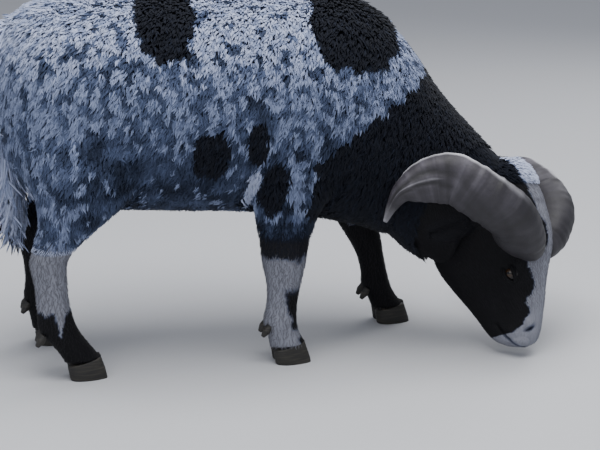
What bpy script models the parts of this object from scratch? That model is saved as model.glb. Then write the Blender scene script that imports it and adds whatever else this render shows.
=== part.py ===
"""A horned Jacob ram grazing, life size, made as a still museum model.

The body is modelled whole and parted by thin cuts into head, neck, torso, tail and legs. Eyes, ears,
horns, claws and dewclaws are pieces of their own, each sunk in a socket. +X is forward, +Y the ram's
left, +Z up, and the soles stand at z = 0. Sizes are in metres and reach out to the tips of the coat.
"""

import math
import random

import bmesh
import bpy
from mathutils import Matrix, Vector

# Gap that two pieces keep where they meet.
GAP = 0.0003

# Trunk and neck, from rump to poll. Each station is the middle of a section: forward, left, height,
# half height, how far its top leans forward, half width, and how far it turns to the right in degrees.
TRUNK = (
    (-0.531, 0.000, 0.490, 0.045, 0.000, 0.040, 0),
    (-0.515, 0.000, 0.485, 0.115, 0.000, 0.098, 0),
    (-0.486, 0.000, 0.478, 0.160, 0.000, 0.140, 0),
    (-0.442, 0.000, 0.475, 0.183, 0.000, 0.166, 0),
    (-0.362, 0.000, 0.474, 0.194, 0.000, 0.184, 0),
    (-0.240, 0.000, 0.472, 0.200, 0.000, 0.193, 0),
    (-0.120, 0.000, 0.466, 0.202, 0.000, 0.193, 0),
    (0.000, 0.000, 0.457, 0.207, 0.000, 0.184, 0),
    (0.073, 0.000, 0.443, 0.211, 0.003, 0.170, 0),
    (0.130, -0.003, 0.421, 0.201, 0.006, 0.152, 4),
    (0.178, -0.012, 0.384, 0.178, 0.014, 0.134, 9),
    (0.218, -0.024, 0.332, 0.152, 0.025, 0.116, 14),
    (0.266, -0.037, 0.284, 0.128, 0.040, 0.100, 20),
    (0.316, -0.052, 0.241, 0.112, 0.046, 0.080, 28),
)
TRUNK_SIDES = 18
TRUNK_STEPS = 16

# The head hangs nose down. It is turned to the right, its poll leans back and its left side hangs
# lower. Its own axes: front is out of the forehead, out is away from the middle line, and height
# runs from the lips to the poll.
HEAD_TURN = math.radians(41)
HEAD_LEAN = math.radians(6)
HEAD_TILT = math.radians(12)
HEAD_PLACE = Vector((0.360, -0.140, -0.003))
HEAD_AXES = (
    Matrix.Rotation(-HEAD_TURN, 3, "Z")
    @ Matrix.Rotation(-HEAD_LEAN, 3, "Y")
    @ Matrix.Rotation(-HEAD_TILT, 3, "X")
)
HEAD_FRONT, HEAD_LEFT, HEAD_UP = HEAD_AXES.col

# Head sections from the poll down to the lips: height, back, front, half width.
HEAD = (
    (0.356, -0.041, 0.012, 0.026),
    (0.340, -0.067, 0.034, 0.046),
    (0.306, -0.092, 0.056, 0.058),
    (0.266, -0.113, 0.071, 0.060),
    (0.230, -0.133, 0.080, 0.061),
    (0.198, -0.145, 0.081, 0.060),
    (0.170, -0.146, 0.076, 0.055),
    (0.143, -0.133, 0.072, 0.046),
    (0.116, -0.110, 0.070, 0.041),
    (0.089, -0.084, 0.069, 0.037),
    (0.063, -0.060, 0.067, 0.034),
    (0.042, -0.042, 0.063, 0.033),
    (0.026, -0.024, 0.056, 0.027),
    (0.016, 0.002, 0.040, 0.013),
)
HEAD_SIDES = 16
HEAD_STEPS = 16

EYE_RADIUS = 0.0145
EYE_FRONT, EYE_HEIGHT, EYE_OUT = 0.021, 0.153, 0.0380
LID_THICKNESS = 0.0042
LID_SIDES = 5
LID_STEPS = 7

NOSTRIL_FRONT, NOSTRIL_HEIGHT, NOSTRIL_OUT = 0.051, 0.052, 0.019
NOSTRIL_SIZE = Vector((0.010, 0.004, 0.006))
MOUTH_CORNER = (-0.010, 0.058)
MOUTH_END = (0.034, 0.018)
MOUTH_OPENING = 0.0024
CHIN = (-0.004, 0.030, 0.020)

# Horn: front, height and out of its middle line in the head's axes, then its half depth and half width.
HORN = (
    (0.044, 0.200, 0.020, 0.034, 0.026),
    (0.043, 0.210, 0.046, 0.045, 0.032),
    (0.045, 0.245, 0.090, 0.048, 0.034),
    (0.030, 0.272, 0.120, 0.048, 0.033),
    (0.012, 0.288, 0.139, 0.047, 0.032),
    (-0.009, 0.305, 0.153, 0.046, 0.031),
    (-0.037, 0.321, 0.167, 0.045, 0.030),
    (-0.066, 0.320, 0.182, 0.043, 0.029),
    (-0.087, 0.313, 0.196, 0.037, 0.026),
    (-0.102, 0.305, 0.208, 0.028, 0.021),
    (-0.117, 0.294, 0.217, 0.018, 0.015),
    (-0.133, 0.271, 0.218, 0.010, 0.009),
    (-0.148, 0.245, 0.213, 0.004, 0.004),
)
HORN_SIDES = 10
HORN_RINGS = 15
HORN_RING_RISE = 0.035
HORN_GROOVE = 0.16
CURL_CENTRE = (-0.058, 0.215)

# Ear: front, height and out of its middle line, then its half width.
EAR = (
    (-0.031, 0.240, 0.036, 0.009),
    (-0.041, 0.240, 0.054, 0.013),
    (-0.056, 0.237, 0.074, 0.022),
    (-0.073, 0.231, 0.092, 0.024),
    (-0.091, 0.224, 0.106, 0.018),
    (-0.105, 0.218, 0.116, 0.004),
)
EAR_THICKNESS = 0.0045
EAR_CUP = 0.011
EAR_SIDES = 12
EAR_STEPS = 9

# Legs from inside the body down to the top of the claws: forward, left, height, half depth, half width.
LEGS = {
    "hind_right": (
        (-0.400, -0.082, 0.500, 0.105, 0.066),
        (-0.388, -0.106, 0.405, 0.112, 0.074),
        (-0.398, -0.116, 0.335, 0.088, 0.062),
        (-0.424, -0.113, 0.285, 0.058, 0.048),
        (-0.446, -0.108, 0.250, 0.041, 0.038),
        (-0.463, -0.104, 0.214, 0.034, 0.032),
        (-0.461, -0.102, 0.172, 0.0295, 0.027),
        (-0.458, -0.100, 0.130, 0.030, 0.027),
        (-0.452, -0.100, 0.092, 0.034, 0.031),
        (-0.430, -0.100, 0.060, 0.032, 0.030),
        (-0.410, -0.100, 0.032, 0.034, 0.030),
    ),
    "hind_left": (
        (-0.400, 0.082, 0.500, 0.105, 0.066),
        (-0.390, 0.106, 0.405, 0.112, 0.074),
        (-0.402, 0.116, 0.335, 0.088, 0.062),
        (-0.432, 0.112, 0.285, 0.058, 0.048),
        (-0.460, 0.107, 0.245, 0.042, 0.038),
        (-0.476, 0.103, 0.205, 0.035, 0.032),
        (-0.474, 0.101, 0.165, 0.029, 0.027),
        (-0.472, 0.100, 0.125, 0.029, 0.027),
        (-0.473, 0.100, 0.090, 0.032, 0.031),
        (-0.466, 0.100, 0.060, 0.031, 0.030),
        (-0.458, 0.100, 0.032, 0.034, 0.030),
    ),
    "fore_right": (
        (-0.028, -0.092, 0.430, 0.095, 0.072),
        (-0.036, -0.108, 0.340, 0.086, 0.064),
        (-0.046, -0.106, 0.280, 0.060, 0.050),
        (-0.049, -0.101, 0.235, 0.047, 0.042),
        (-0.050, -0.098, 0.190, 0.041, 0.037),
        (-0.050, -0.096, 0.150, 0.033, 0.030),
        (-0.053, -0.095, 0.115, 0.029, 0.027),
        (-0.057, -0.095, 0.080, 0.031, 0.030),
        (-0.051, -0.095, 0.055, 0.030, 0.029),
        (-0.043, -0.095, 0.032, 0.034, 0.030),
    ),
    "fore_left": (
        (0.018, 0.088, 0.420, 0.090, 0.072),
        (0.048, 0.102, 0.330, 0.078, 0.060),
        (0.088, 0.100, 0.270, 0.053, 0.046),
        (0.118, 0.096, 0.225, 0.040, 0.037),
        (0.141, 0.093, 0.182, 0.035, 0.033),
        (0.155, 0.091, 0.145, 0.028, 0.027),
        (0.164, 0.090, 0.108, 0.026, 0.025),
        (0.169, 0.090, 0.078, 0.029, 0.028),
        (0.180, 0.090, 0.054, 0.029, 0.028),
        (0.194, 0.090, 0.032, 0.033, 0.029),
    ),
}
LEG_SIDES = 12
LEG_STEPS = 14

# Claws, two to a foot.
CLAW_LENGTH = 0.064
CLAW_WIDTH = 0.0265
CLAW_SPREAD = 0.0142
CLAW_SLOPE = 0.22
CLAW_SHIFT = 0.008
CLAW_SIDES = 12
DEWCLAW_RADIUS = 0.008
DEWCLAW_LENGTH = 0.020
DEWCLAW_SPREAD = 0.015
DEWCLAW_DROP = 0.030
DEWCLAW_BACK = 0.024

# Tail, woolly, hanging close against the rump: forward, left, height, half depth, half width.
TAIL = (
    (-0.500, 0.000, 0.612, 0.020, 0.030),
    (-0.522, 0.000, 0.590, 0.030, 0.038),
    (-0.534, 0.000, 0.540, 0.032, 0.042),
    (-0.536, 0.000, 0.460, 0.032, 0.044),
    (-0.531, 0.000, 0.380, 0.032, 0.044),
    (-0.523, 0.000, 0.310, 0.028, 0.038),
    (-0.517, 0.000, 0.270, 0.018, 0.024),
    (-0.515, 0.000, 0.258, 0.006, 0.008),
)
TAIL_SIDES = 10
TAIL_STEPS = 9

# Outlines in x and z of the blocks that part the legs and the tail from the rest.
LEG_BLOCKS = {
    "hind_right": ((-0.75, -0.05), (-0.30, -0.05), (-0.298, 0.318), (-0.75, 0.390)),
    "hind_left": ((-0.75, -0.05), (-0.30, -0.05), (-0.298, 0.318), (-0.75, 0.390)),
    "fore_right": ((-0.135, -0.05), (0.060, -0.05), (0.046, 0.300), (-0.128, 0.300)),
    "fore_left": ((0.050, -0.05), (0.310, -0.05), (0.158, 0.262), (0.080, 0.300), (-0.060, 0.300)),
}
TAIL_BLOCK = ((-0.75, 0.20), (-0.514, 0.20), (-0.5165, 0.640), (-0.75, 0.640))
BLOCK_SIDE = 0.50
HIND_INNER = 0.030
FORE_INNER = 0.045
TAIL_HALF_BLOCK = 0.048
HOCK_HEIGHT = 0.205
KNEE_HEIGHT = 0.190

# Planes that part the neck from the torso and the head from the neck.
NECK_PLANE_POINT = Vector((0.125, 0.0, 0.420))
NECK_PLANE_NORMAL = Vector((0.985, -0.10, -0.14)).normalized()
HEAD_PLANE_BACK = (-0.051, 0.371)
HEAD_PLANE_FOOT = (-0.172, 0.152)

# The fleece is rounded clumps set close on a core. Each form in wool has its own size of clump: half
# length, half width, half height, how far apart they stand, and how deep its core lies below the tips.
CLUMP_SIZES = {
    "trunk": (0.072, 0.063, 0.036, 0.102, 0.019),
    "neck": (0.056, 0.049, 0.028, 0.085, 0.012),
    "leg": (0.049, 0.041, 0.026, 0.070, 0.012),
    "tail": (0.060, 0.030, 0.019, 0.055, 0.009),
}
CLUMP_SIDES, CLUMP_RINGS = 6, 4
CLUMP_SPREAD = 0.16
CLUMP_DROOP = math.radians(9)
CLUMP_SEED = 5
COAT_STEPS = 90
NECK_CLUMPS_FROM = 0.150
NECK_CLUMPS_TO = 0.262
LEG_CLUMPS_FROM, LEG_CLUMPS_TO = 0.440, 0.255
LEG_CORE_ENDS = 0.225

MATERIALS = {
    "speckled_fleece": ("#B4B8C2", 0.95),
    "white_wool": ("#C6C9D2", 0.95),
    "black_wool": ("#17181D", 0.90),
    "black_hair": ("#121317", 0.70),
    "white_hair": ("#A9ABB6", 0.80),
    "ringed_horn": ("#5A5657", 0.55),
    "claw_horn": ("#26221F", 0.50),
    "dark_eye": ("#2A1C10", 0.08),
}


def linear(channel):
    """One sRGB channel from 0 to 1 as linear light."""
    return channel / 12.92 if channel <= 0.04045 else ((channel + 0.055) / 1.055) ** 2.4


def make_material(name):
    """A Principled material of the part's colour and roughness."""
    shade, roughness = MATERIALS[name]
    material = bpy.data.materials.new(name)
    material.use_nodes = True
    shader = material.node_tree.nodes["Principled BSDF"]
    colour = [linear(int(shade[i:i + 2], 16) / 255) for i in (1, 3, 5)]
    shader.inputs["Base Color"].default_value = (*colour, 1.0)
    shader.inputs["Roughness"].default_value = roughness
    shader.inputs["Metallic"].default_value = 0.0
    return material


def clear_scene():
    """Take out every object, so that the model starts from nothing."""
    for old in list(bpy.data.objects):
        bpy.data.objects.remove(old)


def new_collection(name):
    """A collection in the scene."""
    made = bpy.data.collections.new(name)
    bpy.context.scene.collection.children.link(made)
    return made


def new_object(name, bm, collection):
    """A mesh object from a bmesh, its faces turned outwards."""
    bmesh.ops.recalc_face_normals(bm, faces=bm.faces)
    mesh = bpy.data.meshes.new(name)
    bm.to_mesh(mesh)
    bm.free()
    made = bpy.data.objects.new(name, mesh)
    collection.objects.link(made)
    return made


def resample(stations, steps):
    """Even steps along a smooth curve through the stations, every number of a station alike."""
    last = len(stations) - 1
    rows = []
    for step in range(steps + 1):
        along = step / steps * last
        at = min(int(along), last - 1)
        part = along - at
        before = stations[max(at - 1, 0)]
        start = stations[at]
        end = stations[at + 1]
        after = stations[min(at + 2, last)]
        row = []
        for a, b, c, d in zip(before, start, end, after):
            bend = 2 * a - 5 * b + 4 * c - d
            twist = 3 * b - a - 3 * c + d
            row.append(0.5 * (2 * b + (c - a) * part + bend * part**2 + twist * part**3))
        rows.append(row)
    return rows


def full(value, power):
    """A sine or cosine drawn towards a squarer section as the power falls below 1."""
    return math.copysign(abs(value) ** power, value)


def loft(name, rings, sides, collection):
    """A closed tube: each ring is a function from a point of the unit circle to its place."""
    bm = bmesh.new()
    loops = []
    for place in rings:
        circle = bmesh.ops.create_circle(bm, cap_ends=False, segments=sides, radius=1.0)["verts"]
        for vertex in circle:
            vertex.co = place(vertex.co.x, vertex.co.y)
        loops.append(circle)
    edges = [list({edge for vertex in loop for edge in vertex.link_edges}) for loop in loops]
    for first, second in zip(edges, edges[1:]):
        bmesh.ops.bridge_loops(bm, edges=first + second)
    bmesh.ops.contextual_create(bm, geom=loops[0])
    bmesh.ops.contextual_create(bm, geom=loops[-1])
    bmesh.ops.triangulate(bm, faces=bm.faces, quad_method="FIXED")
    return new_object(name, bm, collection)


def head_point(front, height, out, side=1):
    """A place in the head's own axes. Side is 1 on the left and -1 on the right."""
    return HEAD_PLACE + HEAD_FRONT * front + HEAD_LEFT * (out * side) + HEAD_UP * height


def trunk_ring(station, grow=0.0):
    """One section of trunk or neck, leaning and turned."""
    x, y, z, half_height, lean, half_width, turn = station
    turn = math.radians(turn)
    forward = Vector((math.cos(turn), -math.sin(turn), 0.0))
    left = Vector((math.sin(turn), math.cos(turn), 0.0))
    top = (forward * lean + Vector((0.0, 0.0, half_height))).normalized()
    reach = math.hypot(lean, half_height) + grow

    def place(c, s):
        return Vector((x, y, z)) + left * full(c, 0.92) * (half_width + grow) + top * full(s, 0.92) * reach

    return place


def flat_ring(station, slope=0.0, grow=0.0):
    """One level section of a leg or the tail, or one sloped up towards the front."""
    x, y, z, half_depth, half_width = station

    def place(c, s):
        forward = c * (half_depth + grow)
        return Vector((x + forward, y + s * (half_width + grow), z + slope * forward))

    return place


def head_ring(station):
    """One level section of the head, narrower in front than at the jaws."""
    height, back, front, half_width = station
    middle = (back + front) / 2
    half = (front - back) / 2

    def place(c, s):
        wide = half_width * full(s, 0.9) * (1.0 - 0.14 * c)
        return head_point(middle + half * full(c, 0.9), height, wide)

    return place


def path_frames(points, reference, grow=0.0):
    """Each point of a path with two directions square to it, its two ends drawn out by a little.

    The first direction lies as near as it can to the reference, a direction or a function of the place.
    """
    frames = []
    last = len(points) - 1
    for index, point in enumerate(points):
        ahead = (points[min(index + 1, last)] - points[max(index - 1, 0)]).normalized()
        toward = reference(point) if callable(reference) else reference
        first = (toward - ahead * toward.dot(ahead)).normalized()
        drawn = point + ahead * (grow * ((index == last) - (index == 0)))
        frames.append((drawn, first, ahead.cross(first)))
    return frames


def core_depth(form):
    """How deep the core of a form lies below the tips of its clumps."""
    return CLUMP_SIZES[form][4]


def blend(value, start, end):
    """0 at the start, 1 at the end and smooth between them."""
    part = min(1.0, max(0.0, (value - start) / (end - start)))
    return part * part * (3.0 - 2.0 * part)


def make_trunk(collection):
    """The core of trunk and neck in one smooth form."""
    rings = []
    for station in resample(TRUNK, TRUNK_STEPS):
        toward_neck = blend(station[0], NECK_CLUMPS_FROM - 0.05, NECK_CLUMPS_FROM + 0.05)
        depth = core_depth("trunk") + (core_depth("neck") - core_depth("trunk")) * toward_neck
        rings.append(trunk_ring(station, -depth))
    return loft("trunk", rings, TRUNK_SIDES, collection)


def make_leg(name, collection):
    """One leg down to the sloped top of its claws, with a core inside the wool of its upper part."""
    stations = resample(LEGS[name], LEG_STEPS)
    rings = []
    for station in stations[:-1]:
        in_wool = blend(station[2], LEG_CORE_ENDS, LEG_CLUMPS_TO + 0.03)
        rings.append(flat_ring(station, grow=-core_depth("leg") * in_wool))
    rings.append(flat_ring(stations[-1], CLAW_SLOPE))
    return loft("leg_" + name, rings, LEG_SIDES, collection)


def make_tail(collection):
    """The core of the tail against the rump."""
    rings = []
    for station in resample(TAIL, TAIL_STEPS):
        rings.append(flat_ring(station, grow=-min(core_depth("tail"), station[3] * 0.5)))
    return loft("tail_form", rings, TAIL_SIDES, collection)


def clump_rows(rings, spacing):
    """The rings that carry a row of clumps, a set distance apart along the side of the form."""
    rows = []
    walked = spacing / 2
    for index in range(1, len(rings)):
        walked += (rings[index](1.0, 0.0) - rings[index - 1](1.0, 0.0)).length
        if walked >= spacing:
            rows.append(index)
            walked = 0.0
    return rows


def girth(place):
    """The way round a ring."""
    corners = [place(math.cos(math.tau * step / 24), math.sin(math.tau * step / 24)) for step in range(25)]
    return sum((b - a).length for a, b in zip(corners, corners[1:]))


def surface_at(rings, row, angle):
    """A place on a form, and the direction out of it."""
    last = len(rings) - 1
    here = rings[row](math.cos(angle), math.sin(angle))
    after = rings[min(row + 1, last)](math.cos(angle), math.sin(angle))
    before = rings[max(row - 1, 0)](math.cos(angle), math.sin(angle))
    around = rings[row](math.cos(angle + 0.1), math.sin(angle + 0.1)) - here
    out = (after - before).cross(around).normalized()
    middle = (rings[row](1.0, 0.0) + rings[row](-1.0, 0.0)) / 2
    return here, out if out.dot(here - middle) > 0 else -out


def add_clump(tip, out, sizes, collection):
    """One rounded clump: its crown reaches the tips of the coat and its root is sunk in the core."""
    half_length, half_width, half_height = sizes
    hang = Vector((-0.5, 0.0, -1.0))
    lie = (hang - out * hang.dot(out)).normalized()
    across = out.cross(lie)
    droop = Matrix.Rotation(-CLUMP_DROOP, 3, across)
    turn = droop @ Matrix((lie, across, out)).transposed()
    centre = tip - out * half_height
    ball("clump", centre, (half_length, half_width, half_height), turn, CLUMP_SIDES, CLUMP_RINGS, collection)


def add_clumps(form, rings, luck, collection, row_gap=1.0):
    """Clumps in rows all over a form, each row half a step round from the last."""
    half_length, half_width, half_height, spacing, _ = CLUMP_SIZES[form]
    for number, row in enumerate(clump_rows(rings, spacing * row_gap)):
        count = max(3, round(girth(rings[row]) / spacing))
        for step in range(count):
            angle = math.tau * (step + 0.5 * (number % 2) + luck.uniform(-CLUMP_SPREAD, CLUMP_SPREAD)) / count
            near = min(len(rings) - 1, max(0, row + luck.choice((-1, 0, 1))))
            tip, out = surface_at(rings, near, angle)
            size = 1.0 - CLUMP_SPREAD * luck.random()
            sizes = (half_length * size, half_width * size, half_height)
            add_clump(tip - out * (0.004 * luck.random()), out, sizes, collection)


def make_clumps(collection):
    """The clumps of the whole fleece."""
    luck = random.Random(CLUMP_SEED)
    trunk = [(station[0], trunk_ring(station)) for station in resample(TRUNK, COAT_STEPS)]
    add_clumps("trunk", [ring for x, ring in trunk if x < NECK_CLUMPS_FROM], luck, collection)
    add_clumps("neck", [ring for x, ring in trunk if NECK_CLUMPS_FROM < x < NECK_CLUMPS_TO], luck, collection)
    for stations in LEGS.values():
        leg = [flat_ring(s) for s in resample(stations, COAT_STEPS) if LEG_CLUMPS_TO < s[2] < LEG_CLUMPS_FROM]
        add_clumps("leg", leg, luck, collection)
    add_clumps("tail", [flat_ring(s) for s in resample(TAIL, COAT_STEPS)][8:-8], luck, collection, 2.0)


def make_head(collection):
    """The head without its eyes, ears and horns."""
    rings = [head_ring(station) for station in resample(HEAD, HEAD_STEPS)]
    return loft("head_form", rings, HEAD_SIDES, collection)


def tube(name, points, radii, sides, reference, collection):
    """A round tube along points, for a lid or a lip."""
    rings = []
    for (point, wide, deep), radius in zip(path_frames(points, reference), radii):
        rings.append(lambda c, s, p=point, w=wide, d=deep, r=radius: p + w * c * r + d * s * r)
    return loft(name, rings, sides, collection)


def make_lids(side, collection):
    """An upper and a lower lid, two rims that meet at the corners of the eye."""
    for name, rise in (("upper", 0.72), ("lower", -0.62)):
        points = []
        radii = []
        for step in range(LID_STEPS + 1):
            angle = math.pi * step / LID_STEPS
            across = EYE_RADIUS * 1.12 * math.cos(angle)
            up = EYE_RADIUS * rise * math.sin(angle)
            out = EYE_OUT + math.sqrt(max(0.0, 1.3 * EYE_RADIUS**2 - across**2 - up**2)) * 0.92
            points.append(head_point(EYE_FRONT + up, EYE_HEIGHT + across, out, side))
            radii.append(LID_THICKNESS * (0.55 + 0.45 * math.sin(angle)))
        tube("lid_" + name, points, radii, LID_SIDES, HEAD_LEFT, collection)


def ball(name, centre, sizes, turn, segments, rings, collection):
    """An ellipsoid."""
    bm = bmesh.new()
    bmesh.ops.create_uvsphere(bm, u_segments=segments, v_segments=rings, radius=1.0)
    place = Matrix.Translation(centre) @ turn.to_4x4() @ Matrix.Diagonal((*sizes, 1.0))
    bmesh.ops.transform(bm, matrix=place, verts=bm.verts)
    return new_object(name, bm, collection)


def make_lips(collection):
    """The upper lips beside the muzzle and the chin behind them."""
    for side in (-1, 1):
        centre = head_point(0.030, 0.030, 0.015, side)
        ball("upper_lip", centre, (0.021, 0.017, 0.013), HEAD_AXES, 8, 5, collection)
    front, height, half = CHIN
    ball("chin", head_point(front, height, 0.0), (half, 0.020, 0.012), HEAD_AXES, 8, 5, collection)


def mouth_cutter(collection):
    """A thin wedge through the muzzle that leaves the line of the mouth."""
    bm = bmesh.new()
    corner = Vector((MOUTH_CORNER[0], 0.0, MOUTH_CORNER[1]))
    end = Vector((MOUTH_END[0], 0.0, MOUTH_END[1]))
    along = (end - corner).normalized()
    square = Vector((along.z, 0.0, -along.x))
    far = end + along * 0.02
    outline = [corner, far - square * MOUTH_OPENING, far + square * MOUTH_OPENING]
    corners = [bm.verts.new(head_point(p.x, p.z, 0.006)) for p in outline]
    face = bm.faces.new(corners)
    sweep = bmesh.ops.extrude_face_region(bm, geom=[face])["geom"]
    moved = [item for item in sweep if isinstance(item, bmesh.types.BMVert)]
    bmesh.ops.translate(bm, verts=moved, vec=HEAD_LEFT * 0.08)
    return new_object("mouth_left", bm, collection)


def mirrored(source, name, collection):
    """The same piece on the head's other side."""
    across = HEAD_LEFT.normalized()
    flip = Matrix.Identity(3) - 2 * Matrix([[a * b for b in across] for a in across])
    place = Matrix.Translation(HEAD_PLACE) @ flip.to_4x4() @ Matrix.Translation(-HEAD_PLACE)
    bm = bmesh.new()
    bm.from_mesh(source.data)
    bmesh.ops.transform(bm, matrix=place, verts=bm.verts)
    return new_object(name, bm, collection)


def nostril_cutter(side, collection):
    """A slanted slit for one nostril."""
    centre = head_point(NOSTRIL_FRONT, NOSTRIL_HEIGHT, NOSTRIL_OUT, side)
    slant = Matrix.Rotation(math.radians(35), 3, "Y")
    toward_side = Matrix.Rotation(math.radians(28 * side), 3, "Z")
    return ball("nostril", centre, NOSTRIL_SIZE, HEAD_AXES @ slant @ toward_side, 8, 6, collection)


def make_horn(name, side, collection, grow=0.0):
    """One horn, ringed and grooved, three-sided with a rounded back."""
    steps = HORN_RINGS * 2
    stations = resample(HORN, steps)
    points = [head_point(front, height, out, side) for front, height, out, _, _ in stations]
    centre = head_point(CURL_CENTRE[0], CURL_CENTRE[1], 0.0)

    def away(point):
        """Away from the middle of the curl, seen from the side."""
        return (point - centre) - HEAD_LEFT * (point - centre).dot(HEAD_LEFT)

    rings = []
    for index, (point, deep, wide) in enumerate(path_frames(points, away, grow)):
        half_depth, half_width = stations[index][3:]
        ridge = 1.0 + HORN_RING_RISE * (0.5 if index % 2 else -0.5) * min(1.0, (steps - index) / 6)
        groove = 0.0 if grow else HORN_GROOVE * min(1.0, index / 8)
        rings.append(horn_ring(point, wide * side, deep, half_width, half_depth, ridge, groove, grow))
    return loft(name, rings, HORN_SIDES, collection)


def horn_ring(point, wide, deep, half_width, half_depth, ridge, groove, grow):
    """One section of a horn: c runs out of the head, s along the depth of the horn."""

    def place(c, s):
        dent = 1.0 - groove * max(0.0, c) ** 6
        across = (half_width * c * ridge * dent * (1.0 + 0.18 * s)) + grow * c
        along = half_depth * s * ridge + grow * s
        return point + wide * across + deep * along

    return place


def make_ear(name, side, collection, grow=0.0):
    """A leaf-shaped ear, cupped towards the front and below."""
    stations = resample(EAR, EAR_STEPS)
    points = [head_point(front, height, out, side) for front, height, out, _ in stations]
    rings = []
    for index, (point, wide, deep) in enumerate(path_frames(points, HEAD_UP, grow)):
        half_width = max(stations[index][3], EAR_THICKNESS)
        cup = EAR_CUP * math.sin(math.pi * index / EAR_STEPS)
        rings.append(ear_ring(point, wide, deep * side, half_width, cup, grow))
    return loft(name, rings, EAR_SIDES, collection)


def ear_ring(point, wide, deep, half_width, cup, grow):
    """One crescent section of an ear."""

    def place(c, s):
        across = c * (half_width + grow)
        back = cup * (1.0 - 2.0 * (across / half_width) ** 2)
        thick = (EAR_THICKNESS * 0.5 + grow * 1.6) * s
        return point + wide * across + deep * (back + thick)

    return place


def make_claws(name, collection, parts):
    """The two claws of a foot, standing flat, their tops in the sloped plane of the leg's end."""
    x, y, z, _, _ = LEGS[name][-1]
    for word, side in (("outer", 1 if y > 0 else -1), ("inner", -1 if y > 0 else 1)):
        rings = []
        for level, size, shift in ((0.0, 1.0, CLAW_SHIFT), (0.004, 1.02, CLAW_SHIFT * 0.9), (1.0, 0.90, 0.0)):
            rings.append(claw_ring(x, y, z, side, level, size, shift))
        claw = loft("claw_" + name + "_" + word, rings, CLAW_SIDES, collection)
        parts.append((claw, "claw_horn"))


def claw_ring(x, y, z, side, level, size, shift):
    """One section of a claw: its inner side is flat and its toe is narrow."""

    def place(c, s):
        forward = CLAW_LENGTH / 2 * size * c
        wide = CLAW_WIDTH / 2 * size * s * (1.0 - 0.28 * c)
        wide = max(wide * side, -CLAW_WIDTH * 0.44) * side
        top = z + CLAW_SLOPE * (forward + shift) - GAP
        height = top if level == 1.0 else level
        return Vector((x + forward + shift, y + CLAW_SPREAD * side + wide, height))

    return place


def make_dewclaw(name, side, collection, grow=0.0):
    """A small claw behind the pastern."""
    station = LEGS[name][-3]
    x, y, z = station[0] - station[3] + DEWCLAW_BACK * 0.4, station[1], station[2]
    top = Vector((x, y + DEWCLAW_SPREAD * side, z - DEWCLAW_DROP * 0.2))
    tip = top + Vector((-DEWCLAW_BACK * 0.55, 0.0, -DEWCLAW_LENGTH))
    along = (tip - top).normalized()
    points = [top - along * grow, top + (tip - top) * 0.5, tip + along * grow]
    radii = [DEWCLAW_RADIUS * 0.8 + grow, DEWCLAW_RADIUS + grow, DEWCLAW_RADIUS * 0.45 + grow]
    word = "left" if side > 0 else "right"
    return tube("dewclaw_" + name + "_" + word, points, radii, 8, Vector((0.0, 1.0, 0.0)), collection)


def offset_outline(outline, distance):
    """A convex outline, given anticlockwise, moved outwards all round."""
    lines = []
    for first, second in zip(outline, outline[1:] + outline[:1]):
        start, end = Vector(first), Vector(second)
        normal = Vector((end.y - start.y, start.x - end.x)).normalized()
        lines.append((normal, normal.dot(start) + distance))
    corners = []
    for (n1, d1), (n2, d2) in zip(lines[-1:] + lines[:-1], lines):
        base = n1.x * n2.y - n1.y * n2.x
        corners.append(((d1 * n2.y - d2 * n1.y) / base, (n1.x * d2 - n2.x * d1) / base))
    return corners


def block(name, outline, low, high, collection, grow=0.0):
    """A prism between two distances to the left, for parting the body."""
    bm = bmesh.new()
    corners = [bm.verts.new((x, low - grow, z)) for x, z in offset_outline(outline, grow)]
    face = bm.faces.new(corners)
    sweep = bmesh.ops.extrude_face_region(bm, geom=[face])["geom"]
    moved = [item for item in sweep if isinstance(item, bmesh.types.BMVert)]
    bmesh.ops.translate(bm, verts=moved, vec=(0.0, high - low + 2 * grow, 0.0))
    return new_object(name, bm, collection)


def side_block(name, outline, inner, side, collection, grow=0.0):
    """A prism on one side of the body."""
    if side > 0:
        return block(name, outline, inner, BLOCK_SIDE, collection, grow)
    return block(name, outline, -BLOCK_SIDE, -inner, collection, grow)


def replace_mesh(obj, mesh):
    """Give an object a new mesh and drop the old one."""
    old = obj.data
    obj.data = mesh
    bpy.data.meshes.remove(old)


def evaluated_mesh(obj):
    """The object's mesh with its modifiers applied."""
    graph = bpy.context.evaluated_depsgraph_get()
    return bpy.data.meshes.new_from_object(obj.evaluated_get(graph))


def apply_boolean(target, operation, tool):
    """Cut, cross or join with one object or with all of a collection."""
    modifier = target.modifiers.new(operation.lower(), "BOOLEAN")
    modifier.operation = operation
    modifier.solver = "MANIFOLD"
    if isinstance(tool, bpy.types.Collection):
        modifier.operand_type = "COLLECTION"
        modifier.collection = tool
    else:
        modifier.object = tool
    mesh = evaluated_mesh(target)
    target.modifiers.clear()
    replace_mesh(target, mesh)


def island_volume(faces):
    """Six times the volume that a set of faces closes in."""
    total = 0.0
    for face in faces:
        corners = [vertex.co for vertex in face.verts]
        for second, third in zip(corners[1:], corners[2:]):
            total += corners[0].dot(second.cross(third))
    return abs(total)


def keep_largest(obj):
    """Keep only the largest closed surface of a piece."""
    bm = bmesh.new()
    bm.from_mesh(obj.data)
    left = set(bm.faces)
    islands = []
    while left:
        stack = [left.pop()]
        island = []
        while stack:
            face = stack.pop()
            island.append(face)
            for edge in face.edges:
                for other in edge.link_faces:
                    if other in left:
                        left.remove(other)
                        stack.append(other)
        islands.append(island)
    islands.sort(key=island_volume)
    loose = [face for island in islands[:-1] for face in island]
    if loose:
        bmesh.ops.delete(bm, geom=loose, context="FACES")
    bm.to_mesh(obj.data)
    bm.free()


def copy_of(obj, name, collection):
    """A second object with a mesh of its own."""
    made = bpy.data.objects.new(name, obj.data.copy())
    collection.objects.link(made)
    return made


def empty_collection(collection):
    """Remove a collection's objects."""
    for old in list(collection.objects):
        bpy.data.objects.remove(old)


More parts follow.
